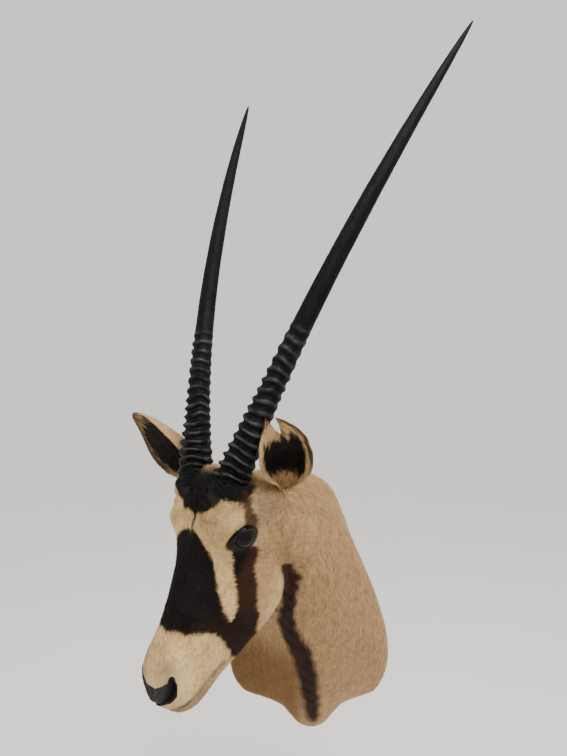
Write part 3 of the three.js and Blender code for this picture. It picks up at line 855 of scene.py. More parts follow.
def horn_grid(side):
    """Points of a horn, with the ridge and the length at each for its material."""
    rows = np.concatenate([
        np.linspace(-ROOT_LENGTH, RINGED_LENGTH + 20, RINGED_ROWS, endpoint=False),
        np.linspace(RINGED_LENGTH + 20, HORN_LENGTH, HORN_ROWS - RINGED_ROWS),
    ])
    length, angle = grid_of(rows, HORN_COLUMNS)
    around = np.stack([np.cos(angle) * 18, np.sin(angle) * 18, length], -1)
    seed = 11 if side == "left" else 12
    ringed = 1 - smooth(length, RINGED_LENGTH - 10, RINGED_LENGTH + 14)
    wander = RING_WAVE * np.sin(2 * angle + length / WAVE_RUN) + 1.3 * ripple(around * [1, 1, 0.4], 30, seed)
    base = 1 - smooth(length, 4, 46)
    ridge = ridge_at(length + (wander + 1.5 * base * ripple(around, 15, seed + 7)) * ringed)
    height = np.interp(length, [0, RINGED_LENGTH], RING_HEIGHT) * (1 + 0.2 * ripple(around, 34, seed + 1))
    height *= 0.76 + 0.34 * np.sin(angle)
    radius = np.interp(length / HORN_LENGTH, *HORN_DIAMETERS.T) / 2
    radius = np.where(length < 2, np.minimum(radius, ROOT_RADIUS), radius)
    thin = np.clip(radius / 8, 0.1, 1)
    relief = (ridge - 0.42) * height * ringed * smooth(length, -4, 3)
    gnarled = around * [1, 1, 2]
    relief += base * (0.9 * ripple(gnarled, 9, seed + 2) + 0.5 * ripple(gnarled, 4.5, seed + 8))
    striae = 0.16 * ripple(around * [1, 1, 0.05], 5, seed + 3)
    relief += thin * (striae + 0.12 * ripple(around * [1, 1, 0.5], 7, seed + 4))
    relief += ringed * 0.22 * ripple(around * [1, 1, 1.6], 4, seed + 5)
    point, inward, across = horn_path(side, length)
    reach = (radius + relief)[..., None]
    point = point + across * reach * np.cos(angle)[..., None] + inward * reach * np.sin(angle)[..., None]
    return point, ridge * ringed + 0.38 * (1 - ringed), length


horns = {}
for side in SIDES:
    grid, ridge, length = horn_grid(side)
    tip, _, _ = horn_path(side, np.array([HORN_LENGTH]))
    points = np.vstack([grid.reshape(-1, 3), grid[0].mean(0), tip])
    horn = make_closed(f"ringed_horn_{side}", from_head(points), *tube_faces(HORN_ROWS, HORN_COLUMNS))
    add_numbers(horn, "ridge", np.append(ridge.ravel(), [0, 0]))
    add_numbers(horn, "length", np.append(length.ravel(), [0, HORN_LENGTH]))
    horns[side] = horn
    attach(horn, "root")
    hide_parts(f"horn_{side}")
print("Rings on each horn:", len(ring_starts()) - 1)

# %% [markdown]
# ## Eyes
# The eyes are glass domes with the colour painted on the back. Each looks
# sideways, a little forward and up. The dome is a circle of rows and columns
# raised to a ball, and its shader needs only the distance from its middle
# along and across the line between the corners of the eye.
# %% Eyes
EYE_BACK = np.array([-2.2, 54.0, -2.4])
EYE_RADIUS = 17
EYE_HEIGHT = 23
EYE_FORWARD, EYE_UP = 14, 14
EYE_LINE = np.array([35.0, -4.0, 32.0])
EYE_ROWS, EYE_COLUMNS = 40, 72
# From the middle of the dome to the cut at its back, in radians
EYE_POLAR = (0.02, 2.0)
EYE_CUT = 0.42


def eye_axes(sign):
    """Directions of an eye in the head's frame: along its corners, up, and outwards."""
    forward, up = np.sin(np.radians(EYE_FORWARD)), np.sin(np.radians(EYE_UP))
    out = np.array([forward, sign * np.sqrt(1 - forward**2 - up**2), up])
    line = EYE_LINE * [1, sign, 1]
    line = unit(line - out * (line @ out))
    return np.array([line, np.cross(line, out) * sign, out])


def eye_middle(sign):
    """The middle of the eyeball in the head's frame."""
    return EYE_BACK * [1, sign, 1] + eye_axes(sign)[2] * (EYE_HEIGHT - EYE_RADIUS)


eyes = {}
for side, sign in SIDES.items():
    polar, angle = grid_of(np.linspace(*EYE_POLAR, EYE_ROWS), EYE_COLUMNS)
    flat = EYE_RADIUS * np.sin(polar)
    local = np.stack([flat * np.cos(angle), flat * np.sin(angle), EYE_RADIUS * np.cos(polar)], -1)
    local = np.vstack([local.reshape(-1, 3), [[0, 0, EYE_RADIUS]], [[0, 0, -EYE_RADIUS * EYE_CUT]]])
    points = eye_middle(sign) + local @ eye_axes(sign)
    eye = make_closed(f"glass_eye_{side}", from_head(points), *tube_faces(EYE_ROWS, EYE_COLUMNS))
    add_numbers(eye, "along", local[:, 0])
    add_numbers(eye, "up", local[:, 1])
    eyes[side] = eye
    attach(eye, "root")
    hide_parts(f"eye_{side}")

# %% [markdown]
# ## Eyelids
# The lids are a ring of bare black skin with a rounded margin that lies on
# the glass and an outer edge that runs into the face, drawn out towards the
# nose into the tear duct. The ring is a closed loop of a section carried
# round an almond: its inner edge follows the ball, and its outer edge follows
# the skin, whose height is read from the skin's own points close by.
# %% Eyelids
LID_COLUMNS = 120
LID_OPENING = (13.4, 10.6)
LID_OUTSIDE = (21.0, 15.4)
TEAR_DUCT = (3.2, 7.0)
DUCT_WIDTH = 0.34
LOWER_LID = 0.12
# The part of the skin that the lids read: across the eye, and in depth
LID_REACH = (34, 30)
LID_DEPTHS = (-16, 30)
# The section from under the margin to the outer edge: [share of the way out,
# height above a straight run from margin to skin]
LID_SECTION = np.array([
    [-0.12, -2.0], [-0.06, -0.6], [0, 0.5], [0.05, 1.3], [0.12, 1.9], [0.2, 2.0], [0.29, 1.5], [0.37, 0.8],
    [0.44, 0.55], [0.52, 0.9], [0.62, 1.3], [0.74, 1.1], [0.86, 0.5], [1, -0.4], [1.06, -3.0],
])


def skin_height(local, places):
    """The skin's height at places of an eye's plane: a mean of its points, nearest first."""
    gaps = np.linalg.norm(local[None, :, :2] - places[:, None], axis=2)
    weights = 1 / (gaps**2 + 0.5) ** 2
    return (weights * local[:, 2]).sum(1) / weights.sum(1)


def lid_ring(sign):
    """Points of both lids in an eye's own axes, rows along the section and columns round the eye."""
    local = (to_head(skin_points) - eye_middle(sign)) @ eye_axes(sign).T
    beside = (np.abs(local[:, :2]) < LID_REACH).all(1)
    local = local[beside & (local[:, 2] > LID_DEPTHS[0]) & (local[:, 2] < LID_DEPTHS[1])]
    turn = np.arange(LID_COLUMNS) * 2 * np.pi / LID_COLUMNS
    corner = np.exp(-((np.arctan2(np.sin(turn), np.cos(turn)) / DUCT_WIDTH) ** 2))
    inner, outer = (
        np.stack([
            (along + duct * corner) * np.cos(turn),
            up * squared(np.sin(turn), 1.8) * (1 + LOWER_LID * smooth(-np.sin(turn))),
        ], 1)
        for (along, up), duct in zip((LID_OPENING, LID_OUTSIDE), TEAR_DUCT)
    )
    ball = np.sqrt(np.clip((EYE_RADIUS + 0.2) ** 2 - (inner**2).sum(1), 20, None))
    skin_level = skin_height(local, outer)
    way, rise = LID_SECTION[:, 0, None], LID_SECTION[:, 1, None]
    flat = inner + way[..., None] * (outer - inner)
    upper = smooth(np.sin(turn), -0.2, 0.8)
    level = ball + smooth(way, -0.2, 1.05) * (skin_level - ball) + rise * (0.75 + 0.35 * upper)
    return np.dstack([flat, level])


def ring_faces(rows, columns):
    """Quads of a grid that closes on itself both ways."""
    row, column = np.meshgrid(np.arange(rows), np.arange(columns), indexing="ij")
    below, after = (row + 1) % rows, (column + 1) % columns
    here, under = row * columns, below * columns
    return np.stack([here + column, here + after, under + after, under + column], -1).reshape(-1, 4)


# %% [markdown]
# ## Collars and sockets
# Two last changes to the skin need the horns and the eyes. It rises in a
# collar round each horn's root, a bell curve of the distance to the horn's
# middle line, and round each eye it sinks to a level under the lids.
# %% Raise the collars and sink the sockets
SOCKET_LEVEL = 9.5
SOCKET_BACK = -4
SOCKET_WIDER = [2, 0]
COLLAR_HEIGHT, COLLAR_AT, COLLAR_WIDTH = 5.5, 27, 7.5

skin_points, skin_facing = vertices_of(skin)
on_head = to_head(skin_points)
collar = 0
for side in SIDES:
    axis, _, _ = horn_path(side, np.linspace(-ROOT_LENGTH - 12, 8, 9))
    gap, _ = line_distance(on_head, axis)
    height = COLLAR_HEIGHT * np.exp(-(((gap - COLLAR_AT) / COLLAR_WIDTH) ** 2))
    collar = collar + height * (1 + 0.2 * ripple(on_head, 14, 21))
skin_points = skin_points + skin_facing * collar[:, None]
for sign in SIDES.values():
    axes = eye_axes(sign)
    local = (to_head(skin_points) - eye_middle(sign)) @ axes.T
    shape = np.linalg.norm(local[:, :2] / (np.array(LID_OUTSIDE) + SOCKET_WIDER), axis=1)
    over = np.clip(local[:, 2] - SOCKET_LEVEL, 0, None) * (local[:, 2] > SOCKET_BACK)
    sunk = over * (1 - smooth(shape, 0.95, 1.5))
    skin_points = skin_points - np.outer(sunk, axes[2] @ HEAD_AXES)
set_points(skin, skin_points)
skin_points, skin_facing = vertices_of(skin)
print("The collars raise", int((collar > 1).sum()), "points")

# %% Make the lids
lids = {}
for side, sign in SIDES.items():
    grid = lid_ring(sign)
    points = from_head(eye_middle(sign) + grid.reshape(-1, 3) @ eye_axes(sign))
    lids[side] = make_closed(f"eyelids_{side}", points, ring_faces(len(LID_SECTION), LID_COLUMNS))
    refine = lids[side].modifiers.new("rounder", "SUBSURF")
    refine.levels = refine.render_levels = 1
print("Each eye's lids have", len(lids["left"].data.polygons), "faces before they are rounded")

# %% [markdown]
# ## Nose pad
# The bare skin between and round the nostrils is far finer than the rest: a
# pebbled pad with two comma-shaped slits. It is a patch of the head's own
# formula on a much closer grid, raised a little over the skin inside the
# pad's outline, sunk under it outside, and given a wall by a modifier.
# %% Nose pad
PAD_ROWS, PAD_COLUMNS = 190, 260
PAD_SHARE = (0.745, 0.995)
PAD_ANGLE = np.radians(100)
PAD_LOWEST = -19
PAD_LEAN = 6
PAD_RAISED, PAD_SUNK = 2.9, 2.4
PAD_WALL = 1.2
MUZZLE_MIDDLE = [150, 0, -40]
# The outline of the bare skin on one side: [x, y], from the cleft's top round
PAD_OUTLINE = [
    [215, -4], [216, 3], [214, 9], [210, 17], [207, 22], [203, 27], [200, 30], [195, 31], [191, 33],
    [193, 36], [198, 38], [205, 39], [212, 37.5], [219, 31.5], [226, 21], [232, 10], [235, -4],
]


def inside_outline(places, outline):
    """How far inside a closed outline each place lies, negative outside.

    The distance is to the nearest edge. Its sign comes from counting how
    many edges a line from the place crosses: an odd count means inside.
    """
    outline = np.asarray(outline, float)
    nearest = np.full(len(places), np.inf)
    crossings = np.zeros(len(places), int)
    for start, end in zip(outline, np.roll(outline, -1, 0)):
        run = end - start
        share = np.clip((places - start) @ run / max(run @ run, 1e-9), 0, 1)
        nearest = np.minimum(nearest, np.linalg.norm(places - start - share[:, None] * run, axis=1))
        spans = (start[1] > places[:, 1]) != (end[1] > places[:, 1])
        rise = run[1] if abs(run[1]) > 1e-9 else 1e-9
        crossings += spans & (places[:, 0] < start[0] + run[0] * (places[:, 1] - start[1]) / rise)
    return np.where(crossings % 2 == 1, nearest, -nearest)


def pad_inside(points):
    """How far inside the nose's bare skin each point of the head's frame is.

    The bare skin is narrower on the animal's right, by PAD_LEAN.
    """
    beside = one_side(points)
    beside[:, 0] -= PAD_LEAN * smooth(-points[:, 1], 2, 18)
    return np.minimum(inside_outline(beside[:, :2], PAD_OUTLINE), beside[:, 2] - PAD_LOWEST)


share, angle = np.meshgrid(
    np.linspace(*PAD_SHARE, PAD_ROWS), np.linspace(-PAD_ANGLE, PAD_ANGLE, PAD_COLUMNS), indexing="ij",
)
grid = head_point(share, angle)
flat = grid.reshape(-1, 3)
along_rows = np.gradient(grid, axis=0)
along_columns = np.gradient(grid, axis=1)
outwards = unit(np.cross(along_columns, along_rows)).reshape(-1, 3)
outwards *= np.sign(dot(outwards, flat - MUZZLE_MIDDLE))
bare = smooth(pad_inside(flat), -2.5, 1.0)
pebbles = 0.22 * np.abs(ripple(flat, 3.4, 31)) + 0.12 * ripple(flat, 2.1, 32)
raised = bare * PAD_RAISED - PAD_SUNK + muzzle_relief(flat) - nostril_depth(flat) + pebbles * bare
points = flat + outwards * raised[:, None]
row, column = np.meshgrid(np.arange(PAD_ROWS - 1), np.arange(PAD_COLUMNS - 1), indexing="ij")
first = row * PAD_COLUMNS + column
pad_quads = np.stack([first, first + 1, first + PAD_COLUMNS + 1, first + PAD_COLUMNS], -1).reshape(-1, 4)
kept = (pad_inside(flat)[pad_quads] > -6).any(1)
used, numbers = np.unique(pad_quads[kept], return_inverse=True)
nose = make_piece("nose_pad", from_head(points[used]), numbers.reshape(-1, 4))
add_numbers(nose, "pit", nostril_depth(flat)[used])
add_numbers(nose, "bare", smooth(pad_inside(flat), 0, 3)[used])
_, pad_facing = vertices_of(nose)
if np.mean(pad_facing @ HEAD_AXES[2]) < 0:
    nose.data.flip_normals()
wall = nose.modifiers.new("wall", "SOLIDIFY")
wall.thickness, wall.offset = PAD_WALL * MM, -1
print("The nose pad has", int(kept.sum()), "faces")

# %% [markdown]
# ## Markings
# The face is painted in bands: a black cap round the horns, a black blaze, a
# dark stripe from each eye to the jaw, and cream between them. The bands are
# outlines drawn on a chart of the face, whose one axis is the way to the nose
# and the other the angle round the face from the forehead. A point's share of
# a colour runs smoothly from 0 to 1 across the outline, which is roughened a
# little, since no hair border is a clean line.
# %% Outlines on the chart of the face
CHART_LEVEL = -45
MM_PER_DEGREE = 1.2
# Each outline is one side of the face: [x, degrees from the forehead]
CAP = [
    [17, -3], [15, 1.2], [2, 1.4], [-4, 3], [-7, 9], [-9, 15], [-14, 18], [-19, 22], [-24, 26], [-30, 30],
    [-32, 38], [-35, 44], [-42, 47.5], [-55, 48], [-68, 47], [-78, 37], [-84, 20], [-86, -3],
]
BLAZE = [
    [12, -3], [15, 1.5], [19, 11], [29, 21.5], [39, 30.5], [50, 36.5], [67, 44], [86, 56], [98, 66],
    [106, 79], [110, 88], [101, 88.5], [90, 85], [79, 79], [65, 69], [54, 61], [41, 53], [25, 49],
    [8, 51], [6, 70], [12, 76], [32, 83], [49, 98], [71, 112], [83, 121], [90, 129], [103, 135],
    [114, 148], [120, 184], [158, 184], [156, 150], [154, 136], [153, 124], [147, 115], [143, 101],
    [136, 86], [133, 70], [135, 54], [142, 37], [146, 30], [144, 20], [148, 10], [149, -3],
]
EYEBROW = [
    [-50, 42], [-40, 42.5], [-29, 45], [-17, 50], [-13, 59], [-20, 65], [-28, 61], [-33, 54],
    [-42, 49], [-50, 48],
]
PALE = [
    [-52, -4], [-52, 50], [-18, 58], [12, 58], [26, 57], [45, 63], [60, 77], [80, 90], [104, 97], [118, 93],
    [112, 70], [100, 50], [62, -4],
]
CHEEK = [
    [4, 68], [30, 78], [70, 108], [92, 126], [118, 144], [122, 168], [70, 172], [34, 146], [12, 116],
    [-12, 96], [-26, 78],
]
# Where the pale muzzle starts: [degrees from the forehead, x]
MUZZLE_FROM = np.array([
    [0, 148], [10, 148], [20, 144], [30, 146], [37, 142], [54, 135], [70, 133], [86, 136], [101, 143],
    [115, 147], [124, 153], [136, 154], [184, 158],
])
# The stripe from behind each cheek down the throat, in the mount's frame on
# the animal's left: [x, y, z, half width]
CHEEK_TO_THROAT = [
    [-56, -368, 181, 12], [-49, -356, 166, 14], [-48, -338, 140, 12], [-49, -317, 114, 11],
    [-50, -298, 91, 13], [-53, -281, 68, 17],
]
THROAT_STRIPE = [
    [-53, -281, 68, 17], [-45, -266, 41, 20], [-29, -251, 11, 21], [-18, -226, -32, 19], [-12, -197, -75, 17],
    [-8, -170, -112, 16], [-2, -124, -171, 13], [1, -62, -213, 10], [0, -8, -256, 13],
]

# The thin-haired patch behind each eye, and how far the grey round a nostril
# lies off its slit
TEMPLE = [-42, 64, -8]
NOSTRIL_RIM = [7, 6, -3]


def rounded(outline, per_stretch=4):
    """An outline with its corners eased by the smooth curve through its points."""
    looped = np.vstack([outline, outline[:1]]).astype(float)
    return between(looped, np.linspace(0, 1, per_stretch * len(outline), endpoint=False))


def chart(points):
    """Where points of the head's frame lie on the chart, both axes in millimetres."""
    beside = one_side(points)
    degrees = np.degrees(np.arctan2(beside[:, 1], beside[:, 2] - CHART_LEVEL))
    return np.stack([beside[:, 0], degrees * MM_PER_DEGREE], 1)


def marked(places, outline, rough, feather=1.6):
    """The share of a marking at places of the chart, given its outline and a roughness."""
    inside = inside_outline(places, rounded(outline) * [1, MM_PER_DEGREE])
    return smooth(inside + rough, -feather, feather)


def stripe(points, line, rough, feather=5.0):
    """The share of a stripe along a line whose half width changes on the way."""
    line = np.array(line, float)
    gap, place = line_distance(points, line[:, :3])
    width = np.interp(place, range(len(line)), line[:, 3])
    return smooth(width - gap + rough, -feather, feather)


def eye_gap(points):
    """How far points of the head's frame are from the lids' outer edge, 0 on it and 1 a lid's width out."""
    beside = one_side(points)
    local = (beside - eye_middle(1)) @ eye_axes(1).T
    front = np.exp(-((np.arctan2(local[:, 1], local[:, 0]) / (2 * DUCT_WIDTH)) ** 2))
    shape = np.array(LID_OUTSIDE) + np.outer(front, [TEAR_DUCT[1] * 0.8, 0])
    return np.linalg.norm(local[:, :2] / shape, axis=1) - 1


def neck_share(head):
    """1 on the neck and 0 on the face, at points of the head's frame."""
    return np.maximum(smooth(-head[:, 0], 58, 84), smooth(-head[:, 2], 146, 160))


def throat_share(points):
    """The share of the dark stripe that runs from behind each cheek down the throat."""
    head = to_head(points)
    mirrored = from_head(head * [1, -1, 1])
    wide = 1.2 * ripple(points, 30, 43) + 1.1 * ripple(points, 12, 44)
    left = stripe(points, CHEEK_TO_THROAT, wide)
    right = stripe(mirrored, CHEEK_TO_THROAT, wide) * smooth(-head[:, 1], 4, 20)
    return np.maximum(np.maximum(left, right), stripe(points, THROAT_STRIPE, wide, 8))


def thin_share(head, lips, rough):
    """Where the hair is thin: on the temple, round the nostrils and along the lips."""
    temple = np.linalg.norm(one_side(head) - TEMPLE, axis=1)
    nostril, _ = line_distance(one_side(head) + NOSTRIL_RIM, NOSTRIL[:5, :3])
    thin = np.maximum(0.6 * smooth(-temple, -38, -12), 0.9 * smooth(-nostril - 1.5 * rough, -17, -3))
    return np.maximum(thin, smooth(-lips, -7, -3))


def pale_shares(head, places, rough, muzzle, face):
    """Shares of cream and of the pale cheek. The chin has less cream, the jaw's edge more."""
    line = np.array(MOUTH)[::-1]
    below = np.interp(head[:, 0], line[:, 0], line[:, 2]) - head[:, 2]
    chin = smooth(below, 0, 7) * smooth(head[:, 0], 165, 205)
    brow = marked(places, PALE, rough, 4) * face * (0.6 + 0.4 * smooth(head[:, 0], 0, 45))
    cheek = marked(places, CHEEK, rough, 5) * face * smooth(head[:, 0], -28, 40)
    jaw = 0.8 * cheek * smooth(places[:, 1] / MM_PER_DEGREE, 116, 136)
    return np.maximum(np.maximum(muzzle * (1 - 0.65 * chin), brow), jaw), cheek


def coat(points):
    """Shares of each coat colour at points of the mount's frame, and of the neck."""
    head = to_head(points)
    places = chart(head)
    degrees = places[:, 1] / MM_PER_DEGREE
    rough = 0.8 * ripple(head, 9, 41) + 0.6 * ripple(head, 4, 42)
    neck = neck_share(head)
    face = 1 - neck
    lips, _ = line_distance(one_side(head), MOUTH)
    muzzle = smooth(places[:, 0] - np.interp(degrees, *MUZZLE_FROM.T) + 1.5 * rough, -2, 2) * face
    cream, cheek = pale_shares(head, places, rough, muzzle, face)
    brow = marked(places, EYEBROW, rough, 3) * face
    throat = throat_share(points) * (1 - marked(places, CHEEK, rough, 2.5) * face)
    round_eye = 1 - smooth(eye_gap(head), 0.0, 0.22)
    dark = np.maximum(marked(places, BLAZE, rough) * (1 - muzzle), marked(places, CAP, rough)) * face
    for other in (round_eye * face, 0.85 * smooth(-lips, -2.8, -1.2), brow * 0.9, throat):
        dark = np.maximum(dark, other)
    chestnut = smooth(degrees, 58, 74) * (1 - 0.75 * smooth(head[:, 0], 50, 125)) * (1 - round_eye)
    low_blaze = 0.4 * smooth(head[:, 0], 96, 132) * smooth(degrees, 26, 52)
    brown = np.maximum(np.maximum(chestnut, low_blaze) * face, brow)
    brown = np.maximum(brown, throat * (0.5 + 0.3 * ripple(points, 25, 45)))
    brown = np.maximum(brown, throat * smooth(-points[:, 2], 170, 215))
    # The breast on the animal's right of its throat stripe is more golden, and it is
    # also painted darker there as shade, since it faces down and away from the light
    olive = smooth(-points[:, 0], 2, 45) * smooth(-points[:, 2], -60, 60) * neck
    return {
        "dark": dark, "brown": np.clip(brown, 0, 1), "cream": cream, "cheek": cheek * 0.6,
        "thin": thin_share(head, lips, rough) * face, "olive": olive, "neck": neck,
    }


# %% Mark the skin
COAT_NAMES = ("dark", "brown", "cream", "cheek", "thin", "olive")
skin_coat = coat(skin_points)
for name in COAT_NAMES:
    add_numbers(skin, name, skin_coat[name])
print("Share of the face that is dark:", round(float(skin_coat["dark"][skin_coat["neck"] < 0.5].mean()), 2))

# %% [markdown]
# ## Coat material
# Skin and hair share one colour recipe, so that a gap between hairs shows
# skin of the right colour. Each marking is an attribute from 0 to 1, and the
# recipe lays the colours over each other, the plain grey tan first and black
# last. Hair adds its own number, drawn once for each hair, and its root is
# painted darker as the shade among the hairs; skin is painted darker all over,
# as the shade that lies under the hair.
# %% Coat colours
NECK_TAN = colour(206, 170, 124)
NECK_DARKER = colour(160, 122, 80)
OLIVE_AND_SHADE = colour(122, 88, 42)
CHEEK_TAN = colour(216, 176, 124)
CREAM = colour(252, 224, 166)
CREAM_DARKER = colour(214, 174, 116)
THIN_HAIR = colour(158, 138, 116)
CHESTNUT = colour(64, 34, 21)
BLACK_BROWN = colour(9, 6, 5)


def coat_colour(finish):
    """The coat's colour: each marking's attribute mixes its colour over those before."""
    patchy = finish.noise(38, 3).step(0.3, 0.7)
    streaks = finish.noise(320, 2, at=finish.stretched((1, 0.8, 0.35))).step(0.3, 0.7)
    mottled = finish.noise(130, 4).step(0.35, 0.65)
    base = finish.mix(streaks * 0.5 + patchy * 0.15 + mottled * 0.2, NECK_TAN, NECK_DARKER)
    # The golden breast is its own warmer colour and also a painted shade.
    base = finish.mix(finish.attribute("olive") * 0.9, base, OLIVE_AND_SHADE)
    base = finish.mix(finish.attribute("cheek"), base, CHEEK_TAN)
    flecks = finish.noise(430, 2).step(0.52, 0.68)
    aged = (patchy * 0.35 + streaks * 0.35 + mottled * 0.3 + flecks * 0.35).clamp()
    pale = finish.mix(aged, CREAM, CREAM_DARKER)
    base = finish.mix(finish.attribute("cream"), base, pale)
    base = finish.mix(finish.attribute("thin") * 0.8, base, THIN_HAIR)
    dark = finish.mix(finish.attribute("brown"), BLACK_BROWN, CHESTNUT)
    return finish.mix(finish.attribute("dark"), base, dark)


# %% Skin and hair materials
skin_finish = Finish("short_haired_skin", Roughness=0.8, Specular_IOR_Level=0.12)
# The skin is painted darker all over: the shade that the hair casts on it.
skin_finish.feed(Base_Color=skin_finish.mix(0.35, coat_colour(skin_finish), (0.05, 0.03, 0.02)))
skin_finish.bump(skin_finish.noise(700, 2, at=skin_finish.stretched((1, 1, 0.4))), 0.0006, 0.6)

hair_finish = Finish("hair", Roughness=0.65, Specular_IOR_Level=0.16)
strand = hair_finish.attribute("strand")
lit = hair_finish.mix((strand - 0.5).clamp() * 0.5, coat_colour(hair_finish), (1.0, 0.9, 0.75), "SOFT_LIGHT")
shaded = hair_finish.mix((0.5 - strand).clamp() * 1.1, lit, (0.12, 0.08, 0.06), "MULTIPLY")
# Each hair's root is painted darker, as the shade among the hairs; its tip keeps the coat's colour.
root_shade = (1 - hair_finish.attribute("tip")) * 0.35
hair_finish.feed(Base_Color=hair_finish.mix(root_shade, shaded, (0.25, 0.2, 0.16), "MULTIPLY"))

# %% [markdown]
# ## Hair
# Hair curves and particles are dropped when a model is exported, so every
# hair is a real, tapered blade of one triangle. Roots are scattered evenly by
# area, blades lie nearly flat and follow the lie of the coat, and all of them
# are made at once as arrays. Each blade has its own small cell in a UV map,
# which lets a texture hold its colour.
# %% Scatter roots
ROW_DOWN_NECK = np.array([0.12, 0.35, -0.93])
WHORL_X = 18


def scatter(piece, count, seed, chance, names=()):
    """Points spread over a mesh by area times a chance, with facing and attributes.

    A triangle is drawn for each point, in proportion to its area and chance,
    and the point is a random mean of the triangle's corners.
    """
    rng = np.random.default_rng(seed)
    mesh = piece.data
    mesh.calc_loop_triangles()
    corners = np.empty(len(mesh.loop_triangles) * 3, np.int32)
    mesh.loop_triangles.foreach_get("vertices", corners)
    corners = corners.reshape(-1, 3)
    points, facing = vertices_of(piece)
    a, b, c = (points[corners[:, i]] for i in range(3))
    area = np.linalg.norm(np.cross(b - a, c - a), axis=1) / 2
    total = np.cumsum(area * chance(points, facing)[corners].min(1))
    drawn = np.searchsorted(total, rng.random(count) * total[-1])
    first, second = rng.random((2, count))
    turned = first + second > 1
    first, second = np.where(turned, 1 - first, first), np.where(turned, 1 - second, second)
    shares = np.stack([1 - first - second, first, second], 1)
    picked = corners[drawn]
    numbers = {name: (numbers_of(piece, name)[picked] * shares).sum(1) for name in names}
    spot = (points[picked] * shares[..., None]).sum(1)
    return spot, unit((facing[picked] * shares[..., None]).sum(1)), numbers, rng


def lie_of_coat(points, facing):
    """The way the hair lies at each point, along the skin.

    It spreads from a whorl between the eyes, runs back from the nose over the
    muzzle, down over the cheeks, and down and back along the neck.
    """
    head = to_head(points)
    side = np.sign(head[:, 1])
    degrees = chart(head)[:, 1] / MM_PER_DEGREE
    spread = unit(head * [1, 1, 0] - [WHORL_X, 0, 0])
    cheek = np.stack([-0.55 + 0 * side, 0.3 * side, -0.8 + 0 * side], 1)
    muzzle = np.stack([-1 + 0 * side, 0.15 * side, -0.25 + 0 * side], 1)
    way = spread + (cheek - spread) * smooth(degrees, 36, 70)[:, None]
    way = way + (muzzle - way) * smooth(head[:, 0], 104, 134)[:, None]
    neck = np.maximum(smooth(-head[:, 0], 50, 84), smooth(-head[:, 2], 138, 160))[:, None]
    for horn_side in SIDES:
        axis, _, _ = horn_path(horn_side, np.array([-ROOT_LENGTH, 12.0]))
        gap, _ = line_distance(head, axis)
        up_horn = unit(axis[1] - axis[0]) + 0.4 * unit(head - axis[0])
        way = way + (up_horn - way) * smooth(-gap, -38, -28)[:, None]
    way = way @ HEAD_AXES
    way = unit(way + (ROW_DOWN_NECK - way) * neck)
    sway = np.stack([ripple(points, 42, 61), ripple(points, 38, 62), ripple(points, 45, 63)], 1)
    tuft = np.stack([ripple(points, 9, 64), ripple(points, 10, 65), ripple(points, 8, 66)], 1)
    way = way + 0.13 * sway + 0.11 * tuft
    return unit(way - facing * dot(way, facing))


# %% Make blades
WALL_LIMIT = -0.6
HAIR_CELL = ((0.1, 0.1), (0.9, 0.1), (0.5, 0.9))


def make_hair(name, roots, facing, way, rng, length, width, lift, numbers):
    """One piece of blades: two corners at the root and one at the tip.

    A blade runs along the coat's way, raised by lift degrees, with a little
    turn and roll of its own, and it never passes the wall.
    """
    count = len(roots)
    aside = np.cross(way, facing)
    turned = np.radians(rng.normal(0, 7, (count, 1)))
    raised = np.radians(lift * rng.uniform(0.5, 1.6, (count, 1)))
    rolled = np.radians(rng.normal(0, 16, (count, 1)))
    run = unit(way * np.cos(turned) + aside * np.sin(turned))
    across = np.cross(run, facing) * np.cos(rolled) + facing * np.sin(rolled)
    run = run * np.cos(raised) + facing * np.sin(raised)
    size = length * rng.uniform(0.65, 1.25, count)
    half = width / 2 * rng.uniform(0.7, 1.3, count)
    base = roots - 0.35 * facing
    corners = [base - across * half[:, None], base + across * half[:, None], base + run * size[:, None]]
    points = np.stack(corners, 1).reshape(-1, 3)
    points[:, 1] = np.minimum(points[:, 1], WALL_LIMIT)
    piece = make_piece(name, points, np.arange(3 * count).reshape(-1, 3))
    for label, values in numbers.items():
        add_numbers(piece, label, np.repeat(values, 3))
    tuft = 0.5 + 0.16 * ripple(roots, 7, 71) + 0.1 * ripple(roots, 22, 72) + rng.normal(0, 0.12, count)
    add_numbers(piece, "strand", np.repeat(tuft, 3))
    add_numbers(piece, "tip", np.tile([0, 0, 1], count))
    cells = int(np.ceil(np.sqrt(count)))
    cell = np.stack([np.arange(count) % cells, np.arange(count) // cells], 1)
    places = (cell[:, None] + np.array(HAIR_CELL)) / cells
    piece.data.uv_layers.new(name="OFBake").data.foreach_set("uv", places.astype(np.float32).ravel())
    piece.data.materials.append(hair_finish.material)
    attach(piece, "root")
    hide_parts("hide")
    print(name, "has", count, "hairs")


# %% Hair of the head and neck
HORN_CLEAR = 23.5
NECK_MIDDLE = -25
FACE_HAIR, NECK_HAIR = 6.6, 9.5
FACE_HAIRS = 185_000
NECK_HAIRS = 190_000


def clear_of_bare(points, facing):
    """1 where hair grows, and 0 on lids, nose pad, lips, horn roots and the rear."""
    head = to_head(points)
    grows = smooth(eye_gap(head), 0.0, 0.1) * smooth(-pad_inside(head), -0.5, 1)
    lips, _ = line_distance(one_side(head), MOUTH)
    grows *= 0.25 + 0.75 * smooth(lips, 1.5, 3.5)
    lengths = np.linspace(-ROOT_LENGTH, 12, 15)
    for side in SIDES:
        axis, _, _ = horn_path(side, lengths)
        gap, _ = line_distance(head, axis)
        grows *= smooth(gap, HORN_CLEAR - 1.5, HORN_CLEAR + 0.5)
    behind = (facing[:, 1] > 0.9) & (points[:, 1] > -40) | (points[:, 1] > -WALL_GAP - 0.2)
    return grows * ~behind


def on_face(points, facing):
    """The chance of a hair of the face."""
    return clear_of_bare(points, facing) * (1 - neck_share(to_head(points)))


